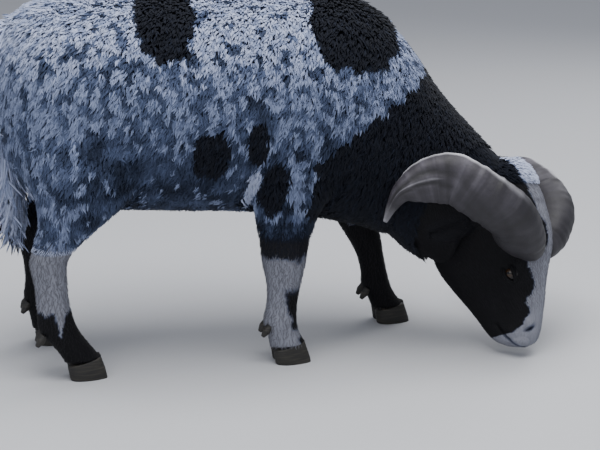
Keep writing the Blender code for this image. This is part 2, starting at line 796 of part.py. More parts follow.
def cut_plane(obj, point, normal, keep_ahead):
    """Keep what lies ahead of a plane or behind it, half a gap clear, and close the cut."""
    bm = bmesh.new()
    bm.from_mesh(obj.data)
    shift = normal * (GAP / 2 if keep_ahead else -GAP / 2)
    cut = bmesh.ops.bisect_plane(
        bm,
        geom=bm.verts[:] + bm.edges[:] + bm.faces[:],
        dist=1e-7,
        plane_co=point + shift,
        plane_no=normal,
        clear_inner=keep_ahead,
        clear_outer=not keep_ahead,
    )
    rim = [item for item in cut["geom_cut"] if isinstance(item, bmesh.types.BMEdge)]
    bmesh.ops.edgeloop_fill(bm, edges=rim)
    bmesh.ops.recalc_face_normals(bm, faces=bm.faces)
    bm.to_mesh(obj.data)
    bm.free()


def head_plane():
    """A point and the normal of the plane between head and neck."""
    back = head_point(HEAD_PLANE_BACK[0], HEAD_PLANE_BACK[1], 0.0)
    foot = head_point(HEAD_PLANE_FOOT[0], HEAD_PLANE_FOOT[1], 0.0)
    normal = (back - foot).cross(HEAD_LEFT).normalized()
    return back, normal if normal.dot(HEAD_FRONT) > 0 else -normal


def leg_side(name):
    """1 for a left leg, -1 for a right one."""
    return 1 if name.endswith("left") else -1


def leg_block(name, collection, grow=0.0):
    """The block that parts one leg from the body."""
    inner = HIND_INNER if name.startswith("hind") else FORE_INNER
    return side_block("part_" + name, LEG_BLOCKS[name], inner, leg_side(name), collection, grow)


def fuse_body(pieces):
    """Trunk, legs, tail and head as one closed body, with its mouth line, nostrils and lids."""
    body = make_trunk(pieces)
    for name in LEGS:
        make_leg(name, pieces)
    make_tail(pieces)
    make_clumps(pieces)
    make_head(pieces)
    make_lips(pieces)
    for side in (-1, 1):
        make_lids(side, pieces)
    pieces.objects.unlink(body)
    bpy.context.scene.collection.objects.link(body)
    apply_boolean(body, "UNION", pieces)
    empty_collection(pieces)
    keep_largest(body)
    return body


def cut_body(body, cutters):
    """Cut the mouth, the nostrils and the sockets of every piece that is set in the body."""
    mirrored(mouth_cutter(cutters), "mouth_right", cutters)
    for side in (-1, 1):
        nostril_cutter(side, cutters)
        make_horn("horn_socket", side, cutters, GAP)
        make_ear("ear_socket", side, cutters, GAP)
        centre = head_point(EYE_FRONT, EYE_HEIGHT, EYE_OUT, side)
        reach = EYE_RADIUS + GAP
        ball("eye_socket", centre, (reach, reach, reach), HEAD_AXES, 12, 8, cutters)
    for name in LEGS:
        for side in (-1, 1):
            make_dewclaw(name, side, cutters, GAP)
    apply_boolean(body, "DIFFERENCE", cutters)
    empty_collection(cutters)


def part_body(body, ram, cutters, parts):
    """Part the one body into tail, legs, torso, neck and head."""
    tail = copy_of(body, "tail", ram)
    tail_block = block("tail_block", TAIL_BLOCK, -TAIL_HALF_BLOCK, TAIL_HALF_BLOCK, cutters)
    apply_boolean(tail, "INTERSECT", tail_block)
    parts.append((tail, "white_wool"))
    legs = {name: copy_of(body, "leg_" + name, ram) for name in LEGS}
    empty_collection(cutters)
    tail_room = block("tail_room", TAIL_BLOCK, -TAIL_HALF_BLOCK, TAIL_HALF_BLOCK, cutters, GAP)
    apply_boolean(body, "DIFFERENCE", tail_room)
    for name, leg in legs.items():
        if name.startswith("hind"):
            apply_boolean(leg, "DIFFERENCE", tail_room)
        apply_boolean(leg, "INTERSECT", leg_block(name, cutters))
        keep_largest(leg)
        apply_boolean(body, "DIFFERENCE", leg_block(name, cutters, GAP))
        split_leg(name, leg, ram, parts)
    neck = copy_of(body, "neck", ram)
    head = copy_of(body, "head", ram)
    torso = copy_of(body, "torso", ram)
    point, normal = head_plane()
    cut_plane(torso, NECK_PLANE_POINT, NECK_PLANE_NORMAL, False)
    cut_plane(neck, NECK_PLANE_POINT, NECK_PLANE_NORMAL, True)
    cut_plane(neck, point, normal, False)
    cut_plane(head, point, normal, True)
    parts.extend([(torso, "speckled_fleece"), (neck, "black_wool"), (head, "black_hair")])
    bpy.data.objects.remove(body)
    empty_collection(cutters)


def split_leg(name, leg, ram, parts):
    """Part a leg at the hock or the knee."""
    height = HOCK_HEIGHT if name.startswith("hind") else KNEE_HEIGHT
    upper = copy_of(leg, "leg_" + name + "_upper", ram)
    lower = copy_of(leg, "leg_" + name + "_lower", ram)
    level = Vector((0.0, 0.0, height))
    up = Vector((0.0, 0.0, 1.0))
    cut_plane(upper, level, up, True)
    cut_plane(lower, level, up, False)
    near = name.endswith("right")
    parts.append((upper, "speckled_fleece" if near else "black_wool"))
    parts.append((lower, "white_hair" if near else "black_hair"))
    bpy.data.objects.remove(leg)


def add_set_in_pieces(ram, parts):
    """Eyes, horns, ears, claws and dewclaws."""
    for side, word in ((-1, "right"), (1, "left")):
        centre = head_point(EYE_FRONT, EYE_HEIGHT, EYE_OUT, side)
        sizes = (EYE_RADIUS, EYE_RADIUS, EYE_RADIUS)
        parts.append((ball("eye_" + word, centre, sizes, HEAD_AXES, 12, 8, ram), "dark_eye"))
        parts.append((make_horn("horn_" + word, side, ram), "ringed_horn"))
        parts.append((make_ear("ear_" + word, side, ram), "black_hair"))
    for name in LEGS:
        make_claws(name, ram, parts)
        for side in (-1, 1):
            parts.append((make_dewclaw(name, side, ram), "claw_horn"))


def finish_parts(parts):
    """Centre the model over the origin, give each part its material and shade it smooth."""
    corners = [vertex.co for obj, _ in parts for vertex in obj.data.vertices]
    middle = [(min(c[i] for c in corners) + max(c[i] for c in corners)) / 2 for i in (0, 1)]
    shift = Matrix.Translation((-middle[0], -middle[1], 0.0))
    materials = {name: make_material(name) for name in MATERIALS}
    for obj, material in parts:
        keep_largest(obj)
        obj.data.transform(shift)
        obj.data.materials.clear()
        obj.data.materials.append(materials[material])
        obj.data.shade_smooth()
        obj.data.set_sharp_from_angle(angle=math.radians(60))


def main():
    """Build the whole ram."""
    clear_scene()
    ram = new_collection("jacob_ram")
    pieces = new_collection("pieces")
    cutters = new_collection("cutters")
    cutters.hide_render = True
    parts = []
    body = fuse_body(pieces)
    cut_body(body, cutters)
    part_body(body, ram, cutters, parts)
    add_set_in_pieces(ram, parts)
    finish_parts(parts)


main()
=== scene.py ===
"""Looks of a grazing Jacob ram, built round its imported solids.

One skin stands for every node of flesh and lies inside it by the depth of the wool. Wool and hair
are locks of solid mesh rooted on that skin. Horns, eyes and claws are pieces of their own. Sizes are
in metres, +X is forward, +Y the ram's left and +Z up.
"""

import math
from collections import namedtuple

import bmesh
import bpy
import numpy as np
from mathutils import Matrix, Vector, noise
from mathutils.kdtree import KDTree


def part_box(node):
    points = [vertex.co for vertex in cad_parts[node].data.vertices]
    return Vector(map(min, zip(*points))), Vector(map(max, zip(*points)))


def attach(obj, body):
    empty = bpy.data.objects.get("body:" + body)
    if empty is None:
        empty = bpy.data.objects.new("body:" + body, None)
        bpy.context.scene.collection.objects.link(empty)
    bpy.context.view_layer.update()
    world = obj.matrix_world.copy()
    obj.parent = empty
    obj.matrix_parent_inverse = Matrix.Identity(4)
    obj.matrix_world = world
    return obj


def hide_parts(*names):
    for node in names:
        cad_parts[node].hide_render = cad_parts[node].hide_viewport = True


# The camera stands low at the ram's right side, a little behind it.
CAMERA_TURN = math.radians(-12)
CAMERA_PITCH = math.radians(15)
CAMERA_DISTANCE = 2.762
CAMERA_TARGET = Vector((0.0, 0.0, 0.227))
CAMERA_LENS = 90.0

# Soft lights: place, what it faces, size and power.
LIGHTS = {
    "overhead_softbox": ((0.1, -0.5, 3.0), (0.0, 0.0, 0.3), 2.6, 120.0),
    "side_softbox": ((-1.8, -2.8, 1.6), (0.0, 0.0, 0.3), 2.0, 22.0),
    "rim_softbox": ((2.4, 2.2, 2.2), (0.1, 0.0, 0.3), 1.6, 30.0),
}

# Trunk and neck out to the tips of the wool: forward, left, height, half height, how far the top
# leans forward, half width, and the turn to the right in degrees.
TRUNK = (
    (-0.531, 0.000, 0.490, 0.045, 0.000, 0.040, 0),
    (-0.515, 0.000, 0.485, 0.115, 0.000, 0.098, 0),
    (-0.486, 0.000, 0.478, 0.160, 0.000, 0.140, 0),
    (-0.442, 0.000, 0.475, 0.183, 0.000, 0.166, 0),
    (-0.362, 0.000, 0.474, 0.194, 0.000, 0.184, 0),
    (-0.240, 0.000, 0.472, 0.200, 0.000, 0.193, 0),
    (-0.120, 0.000, 0.466, 0.202, 0.000, 0.193, 0),
    (0.000, 0.000, 0.457, 0.207, 0.000, 0.184, 0),
    (0.073, 0.000, 0.443, 0.211, 0.003, 0.170, 0),
    (0.130, -0.003, 0.421, 0.201, 0.006, 0.152, 4),
    (0.178, -0.012, 0.384, 0.178, 0.014, 0.134, 9),
    (0.218, -0.024, 0.332, 0.152, 0.025, 0.116, 14),
    (0.266, -0.037, 0.284, 0.128, 0.040, 0.100, 20),
    (0.316, -0.052, 0.241, 0.112, 0.046, 0.080, 28),
)
NECK_FROM = 0.150

# The head hangs nose down. It is turned to the right, its poll leans back and its left side hangs
# lower. Its own axes are front, out to a side, and height from the lips to the poll.
HEAD_TURN = math.radians(41)
HEAD_LEAN = math.radians(6)
HEAD_TILT = math.radians(12)
HEAD_PLACE = Vector((0.360, -0.140, -0.003))
HEAD_AXES = (
    Matrix.Rotation(-HEAD_TURN, 3, "Z")
    @ Matrix.Rotation(-HEAD_LEAN, 3, "Y")
    @ Matrix.Rotation(-HEAD_TILT, 3, "X")
)
HEAD_FRONT, HEAD_LEFT, HEAD_UP = HEAD_AXES.col
UP = Vector((0.0, 0.0, 1.0))

# Rings along and corners round each form.
RINGS = {"trunk": 100, "leg": 84, "tail": 50, "head": 260, "ear": 26, "horn": 230}
CORNERS = {"trunk": 72, "leg": 40, "tail": 30, "head": 100, "ear": 36, "horn": 44, "claw": 36}

# How square a section is: 1 is an ellipse, and less is squarer.
TRUNK_POWER, HEAD_POWER = 0.92, 0.9

# Head from poll to lips: height, back, front, half width.
HEAD = (
    (0.356, -0.041, 0.012, 0.026),
    (0.340, -0.067, 0.034, 0.046),
    (0.306, -0.092, 0.056, 0.058),
    (0.266, -0.113, 0.071, 0.060),
    (0.230, -0.133, 0.080, 0.061),
    (0.198, -0.145, 0.081, 0.060),
    (0.170, -0.146, 0.076, 0.055),
    (0.143, -0.133, 0.072, 0.046),
    (0.116, -0.110, 0.070, 0.041),
    (0.089, -0.084, 0.069, 0.037),
    (0.063, -0.060, 0.067, 0.034),
    (0.042, -0.042, 0.063, 0.033),
    (0.026, -0.024, 0.056, 0.027),
    (0.016, 0.002, 0.040, 0.013),
)

# The plane between head and neck goes through these places of the head: front and height.
HEAD_PLANE_BACK = (-0.051, 0.371)
HEAD_PLANE_FOOT = (-0.172, 0.152)

EYE_RADIUS = 0.0145

# How near to the middle of the eye the skin is bare.
EYE_BARE = 0.0125

# Places of the head: front and height, and out where a third is given.
EYE_FRONT, EYE_HEIGHT, EYE_OUT = 0.021, 0.153, 0.0380
LID_THICKNESS = 0.0044
EYE_SLANT = math.radians(24)
NOSTRIL_FRONT, NOSTRIL_HEIGHT = 0.051, 0.052
MOUTH_CORNER = (-0.010, 0.058)
MOUTH_END = (0.034, 0.018)

# Relief of each side of the face: how far out, front, height, reach, and its squeeze in height.
FACE_RELIEF = (
    (0.0085, 0.021, 0.153, 0.036, 1.0),
    (0.0030, 0.031, 0.171, 0.015, 1.0),
    (-0.0045, 0.040, 0.128, 0.016, 1.0),
    (0.0065, -0.072, 0.160, 0.050, 1.0),
    (-0.0070, 0.000, 0.098, 0.030, 1.0),
    (0.0035, -0.022, 0.122, 0.011, 0.5),
    (0.0060, 0.052, 0.060, 0.013, 1.0),
    (0.0045, 0.018, 0.044, 0.014, 1.0),
)
MOUTH_DEPTH, NOSTRIL_DEPTH, CLEFT_DEPTH, NOSE_RIDGE = 0.0075, 0.0095, 0.0045, 0.0025

# Swells of the upper lips and the chin: front, height and left, then half sizes ahead, aside and up.
LIPS = (
    (0.030, 0.030, -0.015, 0.020, 0.016, 0.012),
    (0.030, 0.030, 0.015, 0.020, 0.016, 0.012),
    (-0.004, 0.030, 0.0, 0.020, 0.019, 0.011),
)

# Horn: front, height and out of its middle line, half depth, half width.
HORN = (
    (0.044, 0.200, 0.020, 0.034, 0.026),
    (0.043, 0.210, 0.046, 0.045, 0.032),
    (0.045, 0.245, 0.090, 0.048, 0.034),
    (0.030, 0.272, 0.120, 0.048, 0.033),
    (0.012, 0.288, 0.139, 0.047, 0.032),
    (-0.009, 0.305, 0.153, 0.046, 0.031),
    (-0.037, 0.321, 0.167, 0.045, 0.030),
    (-0.066, 0.320, 0.182, 0.043, 0.029),
    (-0.087, 0.313, 0.196, 0.037, 0.026),
    (-0.102, 0.305, 0.208, 0.028, 0.021),
    (-0.117, 0.294, 0.217, 0.018, 0.015),
    (-0.133, 0.271, 0.218, 0.010, 0.009),
    (-0.148, 0.245, 0.213, 0.004, 0.004),
)
CURL_CENTRE = (-0.058, 0.215)

# Ear: front, height and out of its middle line, then its half width.
EAR = (
    (-0.031, 0.240, 0.036, 0.009),
    (-0.041, 0.240, 0.054, 0.013),
    (-0.056, 0.237, 0.074, 0.022),
    (-0.073, 0.231, 0.092, 0.024),
    (-0.091, 0.224, 0.106, 0.018),
    (-0.105, 0.218, 0.116, 0.004),
)
EAR_THICKNESS = 0.0034
EAR_CUP = 0.011

# How far a ridge of the horn stands out where its mark is full.
RIDGE_DEPTH = 0.0004

# Legs from inside the body down to the claws: forward, left, height, half depth, half width.
LEGS = {
    "hind_right": (
        (-0.400, -0.082, 0.500, 0.105, 0.066),
        (-0.388, -0.106, 0.405, 0.112, 0.074),
        (-0.398, -0.116, 0.335, 0.088, 0.062),
        (-0.424, -0.113, 0.285, 0.058, 0.048),
        (-0.446, -0.108, 0.250, 0.041, 0.038),
        (-0.463, -0.104, 0.214, 0.034, 0.032),
        (-0.461, -0.102, 0.172, 0.0295, 0.027),
        (-0.458, -0.100, 0.130, 0.030, 0.027),
        (-0.452, -0.100, 0.092, 0.034, 0.031),
        (-0.430, -0.100, 0.060, 0.032, 0.030),
        (-0.410, -0.100, 0.032, 0.034, 0.030),
    ),
    "hind_left": (
        (-0.400, 0.082, 0.500, 0.105, 0.066),
        (-0.390, 0.106, 0.405, 0.112, 0.074),
        (-0.402, 0.116, 0.335, 0.088, 0.062),
        (-0.432, 0.112, 0.285, 0.058, 0.048),
        (-0.460, 0.107, 0.245, 0.042, 0.038),
        (-0.476, 0.103, 0.205, 0.035, 0.032),
        (-0.474, 0.101, 0.165, 0.029, 0.027),
        (-0.472, 0.100, 0.125, 0.029, 0.027),
        (-0.473, 0.100, 0.090, 0.032, 0.031),
        (-0.466, 0.100, 0.060, 0.031, 0.030),
        (-0.458, 0.100, 0.032, 0.034, 0.030),
    ),
    "fore_right": (
        (-0.028, -0.092, 0.430, 0.095, 0.072),
        (-0.036, -0.108, 0.340, 0.086, 0.064),
        (-0.046, -0.106, 0.280, 0.060, 0.050),
        (-0.049, -0.101, 0.235, 0.047, 0.042),
        (-0.050, -0.098, 0.190, 0.041, 0.037),
        (-0.050, -0.096, 0.150, 0.033, 0.030),
        (-0.053, -0.095, 0.115, 0.029, 0.027),
        (-0.057, -0.095, 0.080, 0.031, 0.030),
        (-0.051, -0.095, 0.055, 0.030, 0.029),
        (-0.043, -0.095, 0.032, 0.034, 0.030),
    ),
    "fore_left": (
        (0.018, 0.088, 0.420, 0.090, 0.072),
        (0.048, 0.102, 0.330, 0.078, 0.060),
        (0.088, 0.100, 0.270, 0.053, 0.046),
        (0.118, 0.096, 0.225, 0.040, 0.037),
        (0.141, 0.093, 0.182, 0.035, 0.033),
        (0.155, 0.091, 0.145, 0.028, 0.027),
        (0.164, 0.090, 0.108, 0.026, 0.025),
        (0.169, 0.090, 0.078, 0.029, 0.028),
        (0.180, 0.090, 0.054, 0.029, 0.028),
        (0.194, 0.090, 0.032, 0.033, 0.029),
    ),
}

# How the upper rim of a claw rises towards its toe, and how thick its sole is.
CLAW_SLOPE = 0.22
SOLE = 0.004

# Tail: forward, left, height, half depth, half width.
TAIL = (
    (-0.500, 0.000, 0.612, 0.020, 0.030),
    (-0.522, 0.000, 0.590, 0.030, 0.038),
    (-0.534, 0.000, 0.540, 0.032, 0.042),
    (-0.536, 0.000, 0.460, 0.032, 0.044),
    (-0.531, 0.000, 0.380, 0.032, 0.044),
    (-0.523, 0.000, 0.310, 0.028, 0.038),
    (-0.517, 0.000, 0.270, 0.018, 0.024),
    (-0.515, 0.000, 0.258, 0.006, 0.008),
)

# Islands of the unwrap: left edge, lower edge, width and height of each form's own.
UV_ISLANDS = {
    "head": (0.72, 0.01, 0.27, 0.44),
    "ear_right": (0.87, 0.47, 0.12, 0.15),
    "ear_left": (0.87, 0.64, 0.12, 0.15),
    "tail": (0.72, 0.47, 0.13, 0.33),
    "hind_right": (0.01, 0.64, 0.16, 0.35),
    "hind_left": (0.185, 0.64, 0.16, 0.35),
    "fore_right": (0.36, 0.64, 0.16, 0.35),
    "fore_left": (0.535, 0.64, 0.16, 0.35),
    "body": (0.01, 0.01, 0.69, 0.61),
}

# Depth of the wool over the skin, and of the short hair.
TRUNK_WOOL, NECK_WOOL, LEG_WOOL, TAIL_WOOL = 0.019, 0.012, 0.012, 0.009
HAIR = 0.0016
LEG_WOOL_TOP, LEG_WOOL_FOOT = 0.285, 0.225

SEED = 11


def linear(shade):
    """A hex colour in sRGB as linear light."""
    channels = [int(shade[i:i + 2], 16) / 255 for i in (1, 3, 5)]
    return [c / 12.92 if c <= 0.04045 else ((c + 0.055) / 1.055) ** 2.4 for c in channels] + [1.0]


def blend(value, start, end):
    """0 at the start, 1 at the end and smooth between them, whichever of the two is greater."""
    part = min(1.0, max(0.0, (value - start) / (end - start)))
    return part * part * (3.0 - 2.0 * part)


def span(value, start, full_from, full_to, end):
    """1 within a span and 0 beyond it, smooth at both ends."""
    return blend(value, start, full_from) * blend(value, end, full_to)


def mound(distance, reach):
    """A smooth bump, 1 in the middle and nearly 0 at its reach."""
    return math.exp(-2.5 * (distance / reach) ** 2)


# Forms.


def resample(stations, steps):
    """Even steps along a smooth curve through the stations, every number of a station alike."""
    last = len(stations) - 1
    rows = []
    for step in range(steps + 1):
        along = step / steps * last
        at = min(int(along), last - 1)
        part = along - at
        before, start = stations[max(at - 1, 0)], stations[at]
        end, after = stations[at + 1], stations[min(at + 2, last)]
        row = []
        for a, b, c, d in zip(before, start, end, after):
            bend = 2 * a - 5 * b + 4 * c - d
            twist = 3 * b - a - 3 * c + d
            row.append(0.5 * (2 * b + (c - a) * part + bend * part**2 + twist * part**3))
        rows.append(row)
    return rows


def full(value, power):
    """A sine or cosine drawn towards a squarer section as the power falls below 1."""
    return math.copysign(abs(value) ** power, value)


def new_object(name, bm):
    """A mesh object from a bmesh, its faces turned outwards, shaded smooth."""
    bmesh.ops.recalc_face_normals(bm, faces=bm.faces)
    mesh = bpy.data.meshes.new(name)
    bm.to_mesh(mesh)
    bm.free()
    mesh.shade_smooth()
    made = bpy.data.objects.new(name, mesh)
    bpy.context.scene.collection.objects.link(made)
    return made


def loft(name, rings, sides):
    """A closed tube: each ring is a function from a point of the unit circle to its place."""
    bm = bmesh.new()
    loops = []
    for place in rings:
        circle = bmesh.ops.create_circle(bm, cap_ends=False, segments=sides, radius=1.0)["verts"]
        for vertex in circle:
            vertex.co = place(vertex.co.x, vertex.co.y)
        loops.append(circle)
    edges = [list({edge for vertex in loop for edge in vertex.link_edges}) for loop in loops]
    for first, second in zip(edges, edges[1:]):
        bmesh.ops.bridge_loops(bm, edges=first + second)
    bmesh.ops.contextual_create(bm, geom=loops[0])
    bmesh.ops.contextual_create(bm, geom=loops[-1])
    bmesh.ops.triangulate(bm, faces=bm.faces, quad_method="FIXED")
    return new_object(name, bm)


def head_point(front, height, out, side=1):
    """A place in the head's own axes. Side is 1 on the left and -1 on the right."""
    return HEAD_PLACE + HEAD_FRONT * front + HEAD_LEFT * (out * side) + HEAD_UP * height


def in_head(point):
    """Front, height and out of a place, out being above 0 on the left."""
    offset = point - HEAD_PLACE
    return offset.dot(HEAD_FRONT), offset.dot(HEAD_UP), offset.dot(HEAD_LEFT)


def trunk_ring(station, depth):
    """One section of trunk or neck, a depth inside its wool."""
    x, y, z, half_height, lean, half_width, turn = station
    turn = math.radians(turn)
    forward = Vector((math.cos(turn), -math.sin(turn), 0.0))
    left = Vector((math.sin(turn), math.cos(turn), 0.0))
    top = (forward * lean + UP * half_height).normalized()
    reach = math.hypot(lean, half_height) - depth

    def place(c, s):
        aside = left * full(c, TRUNK_POWER) * (half_width - depth)
        return Vector((x, y, z)) + aside + top * full(s, TRUNK_POWER) * reach

    return place


def flat_ring(station, depth, slope=0.0):
    """One level section of a leg or the tail."""
    x, y, z, half_depth, half_width = station

    def place(c, s):
        forward = c * (half_depth - depth)
        return Vector((x + forward, y + s * (half_width - depth), z + slope * forward))

    return place


def make_trunk():
    """Trunk and neck under the wool."""
    rings = []
    for station in resample(TRUNK, RINGS["trunk"]):
        toward_neck = blend(station[0], NECK_FROM - 0.05, NECK_FROM + 0.05)
        rings.append(trunk_ring(station, TRUNK_WOOL + (NECK_WOOL - TRUNK_WOOL) * toward_neck))
    return loft("trunk", rings, CORNERS["trunk"])


def make_leg(name):
    """A leg, in wool above and in short hair below."""
    rings = []
    stations = resample(LEGS[name], RINGS["leg"])
    for station in stations[:-1]:
        in_wool = blend(station[2], LEG_WOOL_FOOT, LEG_WOOL_TOP)
        rings.append(leg_ring(station, HAIR + (LEG_WOOL - HAIR) * in_wool))
    rings.append(flat_ring(stations[-1], HAIR, CLAW_SLOPE))
    return loft("leg_" + name, rings, CORNERS["leg"])


def leg_ring(station, depth):
    """One section of a leg, hollowed on both sides before the back tendon of the cannon bone."""
    plain = flat_ring(station, depth)
    _, y, z = station[:3]
    on_cannon = span(z, 0.075, 0.105, 0.165, 0.200)

    def place(c, s):
        spot = plain(c, s)
        hollow = 1.0 - 0.16 * on_cannon * mound(c + 0.35, 0.45)
        return Vector((spot.x, y + (spot.y - y) * hollow, spot.z))

    return place


def make_tail():
    """The tail under its long wool."""
    stations = resample(TAIL, RINGS["tail"])
    rings = [flat_ring(station, min(TAIL_WOOL, station[3] * 0.5)) for station in stations]
    return loft("tail_form", rings, CORNERS["tail"])


def face_relief(front, height, out):
    """How far the bones, muscles and folds of the head raise its skin at a place."""
    side = abs(out)
    lateral = -MOUTH_DEPTH * mouth_line(front, height)
    for raised, middle, level, reach, squeeze in FACE_RELIEF:
        lateral += raised * mound(math.hypot(front - middle, (height - level) * squeeze), reach)
    relief = lateral * blend(side, 0.008, 0.022)
    relief -= NOSTRIL_DEPTH * nostril_slit(front, height) * blend(side, 0.005, 0.010)
    relief += NOSE_RIDGE * mound(side, 0.016) * blend(front, 0.035, 0.060) * blend(height, 0.07, 0.12)
    in_cleft = blend(front, 0.030, 0.045) * blend(height, 0.052, 0.040)
    return relief - CLEFT_DEPTH * mound(side, 0.0050) * in_cleft


def nostril_slit(front, height):
    """1 in the slanted, curved slit of the nostril."""
    ahead, up = front - NOSTRIL_FRONT, height - NOSTRIL_HEIGHT
    along = ahead * 0.80 + up * 0.60
    across = -ahead * 0.60 + up * 0.80 - 20.0 * along**2
    return mound(along, 0.013) * mound(across, 0.0046)


def mouth_line(front, height):
    """1 on the sagging line between the lips."""
    run = (MOUTH_END[0] - MOUTH_CORNER[0], MOUTH_END[1] - MOUTH_CORNER[1])
    length = math.hypot(*run)
    ahead, up = front - MOUTH_CORNER[0], height - MOUTH_CORNER[1]
    along = (ahead * run[0] + up * run[1]) / length
    across = (ahead * run[1] - up * run[0]) / length
    sag = 0.0035 * math.sin(math.pi * min(1.0, max(0.0, along / length)))
    return mound(across - sag, 0.0036) * blend(along, -0.004, 0.004)


def head_ring(station):
    """One level section of the head, narrower in front, with its relief."""
    height, back, front, half_width = station
    middle, half = (back + front) / 2, (front - back) / 2 - HAIR
    half_width -= HAIR

    def place(c, s):
        wide = half_width * full(s, HEAD_POWER) * (1.0 - 0.14 * c)
        ahead = middle + half * full(c, HEAD_POWER)
        toward = math.hypot(half * s, half_width * c) or 1.0
        raised = face_relief(ahead, height, wide)
        forward, aside = raised * half_width * c / toward, raised * half * s / toward
        return head_point(ahead + forward, height, wide + aside)

    return place


def make_head():
    """The head, with finer rings towards the muzzle."""
    last = RINGS["head"]
    fine = resample(HEAD, last)
    picked = [0]
    while picked[-1] < last:
        step = 1 if fine[picked[-1]][0] < 0.075 else 2
        picked.append(min(last, picked[-1] + step))
    return loft("head_form", [head_ring(fine[index]) for index in picked], CORNERS["head"])


def path_frames(points, reference):
    """Each point of a path with two directions square to it, the first near to the reference."""
    frames = []
    last = len(points) - 1
    for index, point in enumerate(points):
        ahead = (points[min(index + 1, last)] - points[max(index - 1, 0)]).normalized()
        toward = reference(point) if callable(reference) else reference
        first = (toward - ahead * toward.dot(ahead)).normalized()
        frames.append((point, first, ahead.cross(first)))
    return frames


def tube(name, points, radii, sides, reference):
    """A round tube along points."""
    rings = []
    for (point, wide, deep), radius in zip(path_frames(points, reference), radii):
        rings.append(lambda c, s, p=point, w=wide, d=deep, r=radius: p + w * c * r + d * s * r)
    return loft(name, rings, sides)


def make_lids(side):
    """An upper and a lower lid that meet at the corners of the eye, the lower corner to the front."""
    steps = 24
    made = []
    for rise in (0.66, -0.60):
        points, radii = [], []
        for step in range(steps + 1):
            angle = math.pi * step / steps
            across = EYE_RADIUS * 1.12 * math.cos(angle)
            up = EYE_RADIUS * rise * math.sin(angle)
            out = EYE_OUT + math.sqrt(max(0.0, 1.3 * EYE_RADIUS**2 - across**2 - up**2)) * 0.92
            front = EYE_FRONT + up * math.cos(EYE_SLANT) - across * math.sin(EYE_SLANT)
            height = EYE_HEIGHT + across * math.cos(EYE_SLANT) + up * math.sin(EYE_SLANT)
            points.append(head_point(front, height, out, side))
            radii.append(LID_THICKNESS * (0.55 + 0.45 * math.sin(angle)))
        made.append(tube("lid", points, radii, 10, HEAD_LEFT))
    return made


def ball(name, centre, sizes, segments, rings):
    """An ellipsoid set square to the head."""
    bm = bmesh.new()
    bmesh.ops.create_uvsphere(bm, u_segments=segments, v_segments=rings, radius=1.0)
    place = Matrix.Translation(centre) @ HEAD_AXES.to_4x4() @ Matrix.Diagonal((*sizes, 1.0))
    bmesh.ops.transform(bm, matrix=place, verts=bm.verts)
    return new_object(name, bm)


def make_lips():
    """The swells of the upper lips and of the chin."""
    return [ball("lip", head_point(*row[:3]), row[3:], 24, 16) for row in LIPS]


def make_ear(side):
    """A leaf-shaped ear, cupped towards the front and below."""
    stations = resample(EAR, RINGS["ear"])
    points = [head_point(*station[:3], side) for station in stations]
    rings = []
    for index, (point, wide, deep) in enumerate(path_frames(points, HEAD_UP)):
        half_width = max(stations[index][3] - HAIR * 0.6, EAR_THICKNESS)
        cup = EAR_CUP * math.sin(math.pi * index / RINGS["ear"])
        rings.append(ear_ring(point, wide, deep * side, half_width, cup))
    return loft("ear", rings, CORNERS["ear"])


def ear_ring(point, wide, deep, half_width, cup):
    """One crescent section of an ear."""

    def place(c, s):
        back = cup * (1.0 - 2.0 * c * c)
        return point + wide * c * half_width + deep * (back + EAR_THICKNESS * 0.5 * s)

    return place


def largest_shell(bm):
    """Delete all but the largest closed surface."""
    left = set(bm.faces)
    shells = []
    while left:
        stack = [left.pop()]
        shell = []
        while stack:
            face = stack.pop()
            shell.append(face)
            for edge in face.edges:
                for other in edge.link_faces:
                    if other in left:
                        left.remove(other)
                        stack.append(other)
        shells.append(shell)
    shells.sort(key=len)
    loose = [face for shell in shells[:-1] for face in shell]
    if loose:
        bmesh.ops.delete(bm, geom=loose, context="FACES")


def fuse(pieces):
    """Join closed pieces into one closed skin and drop the pieces."""
    group = bpy.data.collections.new("flesh")
    bpy.context.scene.collection.children.link(group)
    for piece in pieces[1:]:
        bpy.context.scene.collection.objects.unlink(piece)
        group.objects.link(piece)
    union = pieces[0].modifiers.new("fuse", "BOOLEAN")
    union.operation = "UNION"
    union.solver = "MANIFOLD"
    union.operand_type = "COLLECTION"
    union.collection = group
    graph = bpy.context.evaluated_depsgraph_get()
    bm = bmesh.new()
    bm.from_mesh(pieces[0].evaluated_get(graph).to_mesh())
    pieces[0].evaluated_get(graph).to_mesh_clear()
    for piece in pieces:
        bpy.data.objects.remove(piece)
    bpy.data.collections.remove(group)
    largest_shell(bm)
    bmesh.ops.remove_doubles(bm, verts=bm.verts, dist=1e-5)
    return bm


def near_join(point):
    """Whether a place of the skin lies where two forms meet, away from the face."""
    front, height, _ = in_head(point)
    return height > 0.20 and front < 0.02 or point.x < 0.22


def make_skin():
    """One closed skin for trunk, neck, legs, tail, head and ears."""
    pieces = [make_trunk(), make_tail(), make_head(), *make_lips()]
    pieces += [make_leg(name) for name in LEGS]
    for side in (-1, 1):
        pieces += [make_ear(side), *make_lids(side)]
    bm = fuse(pieces)
    soft = [vertex for vertex in bm.verts if near_join(vertex.co)]
    for _ in range(4):
        bmesh.ops.smooth_vert(bm, verts=soft, factor=0.5, use_axis_x=True, use_axis_y=True, use_axis_z=True)
    return new_object("skin", bm)


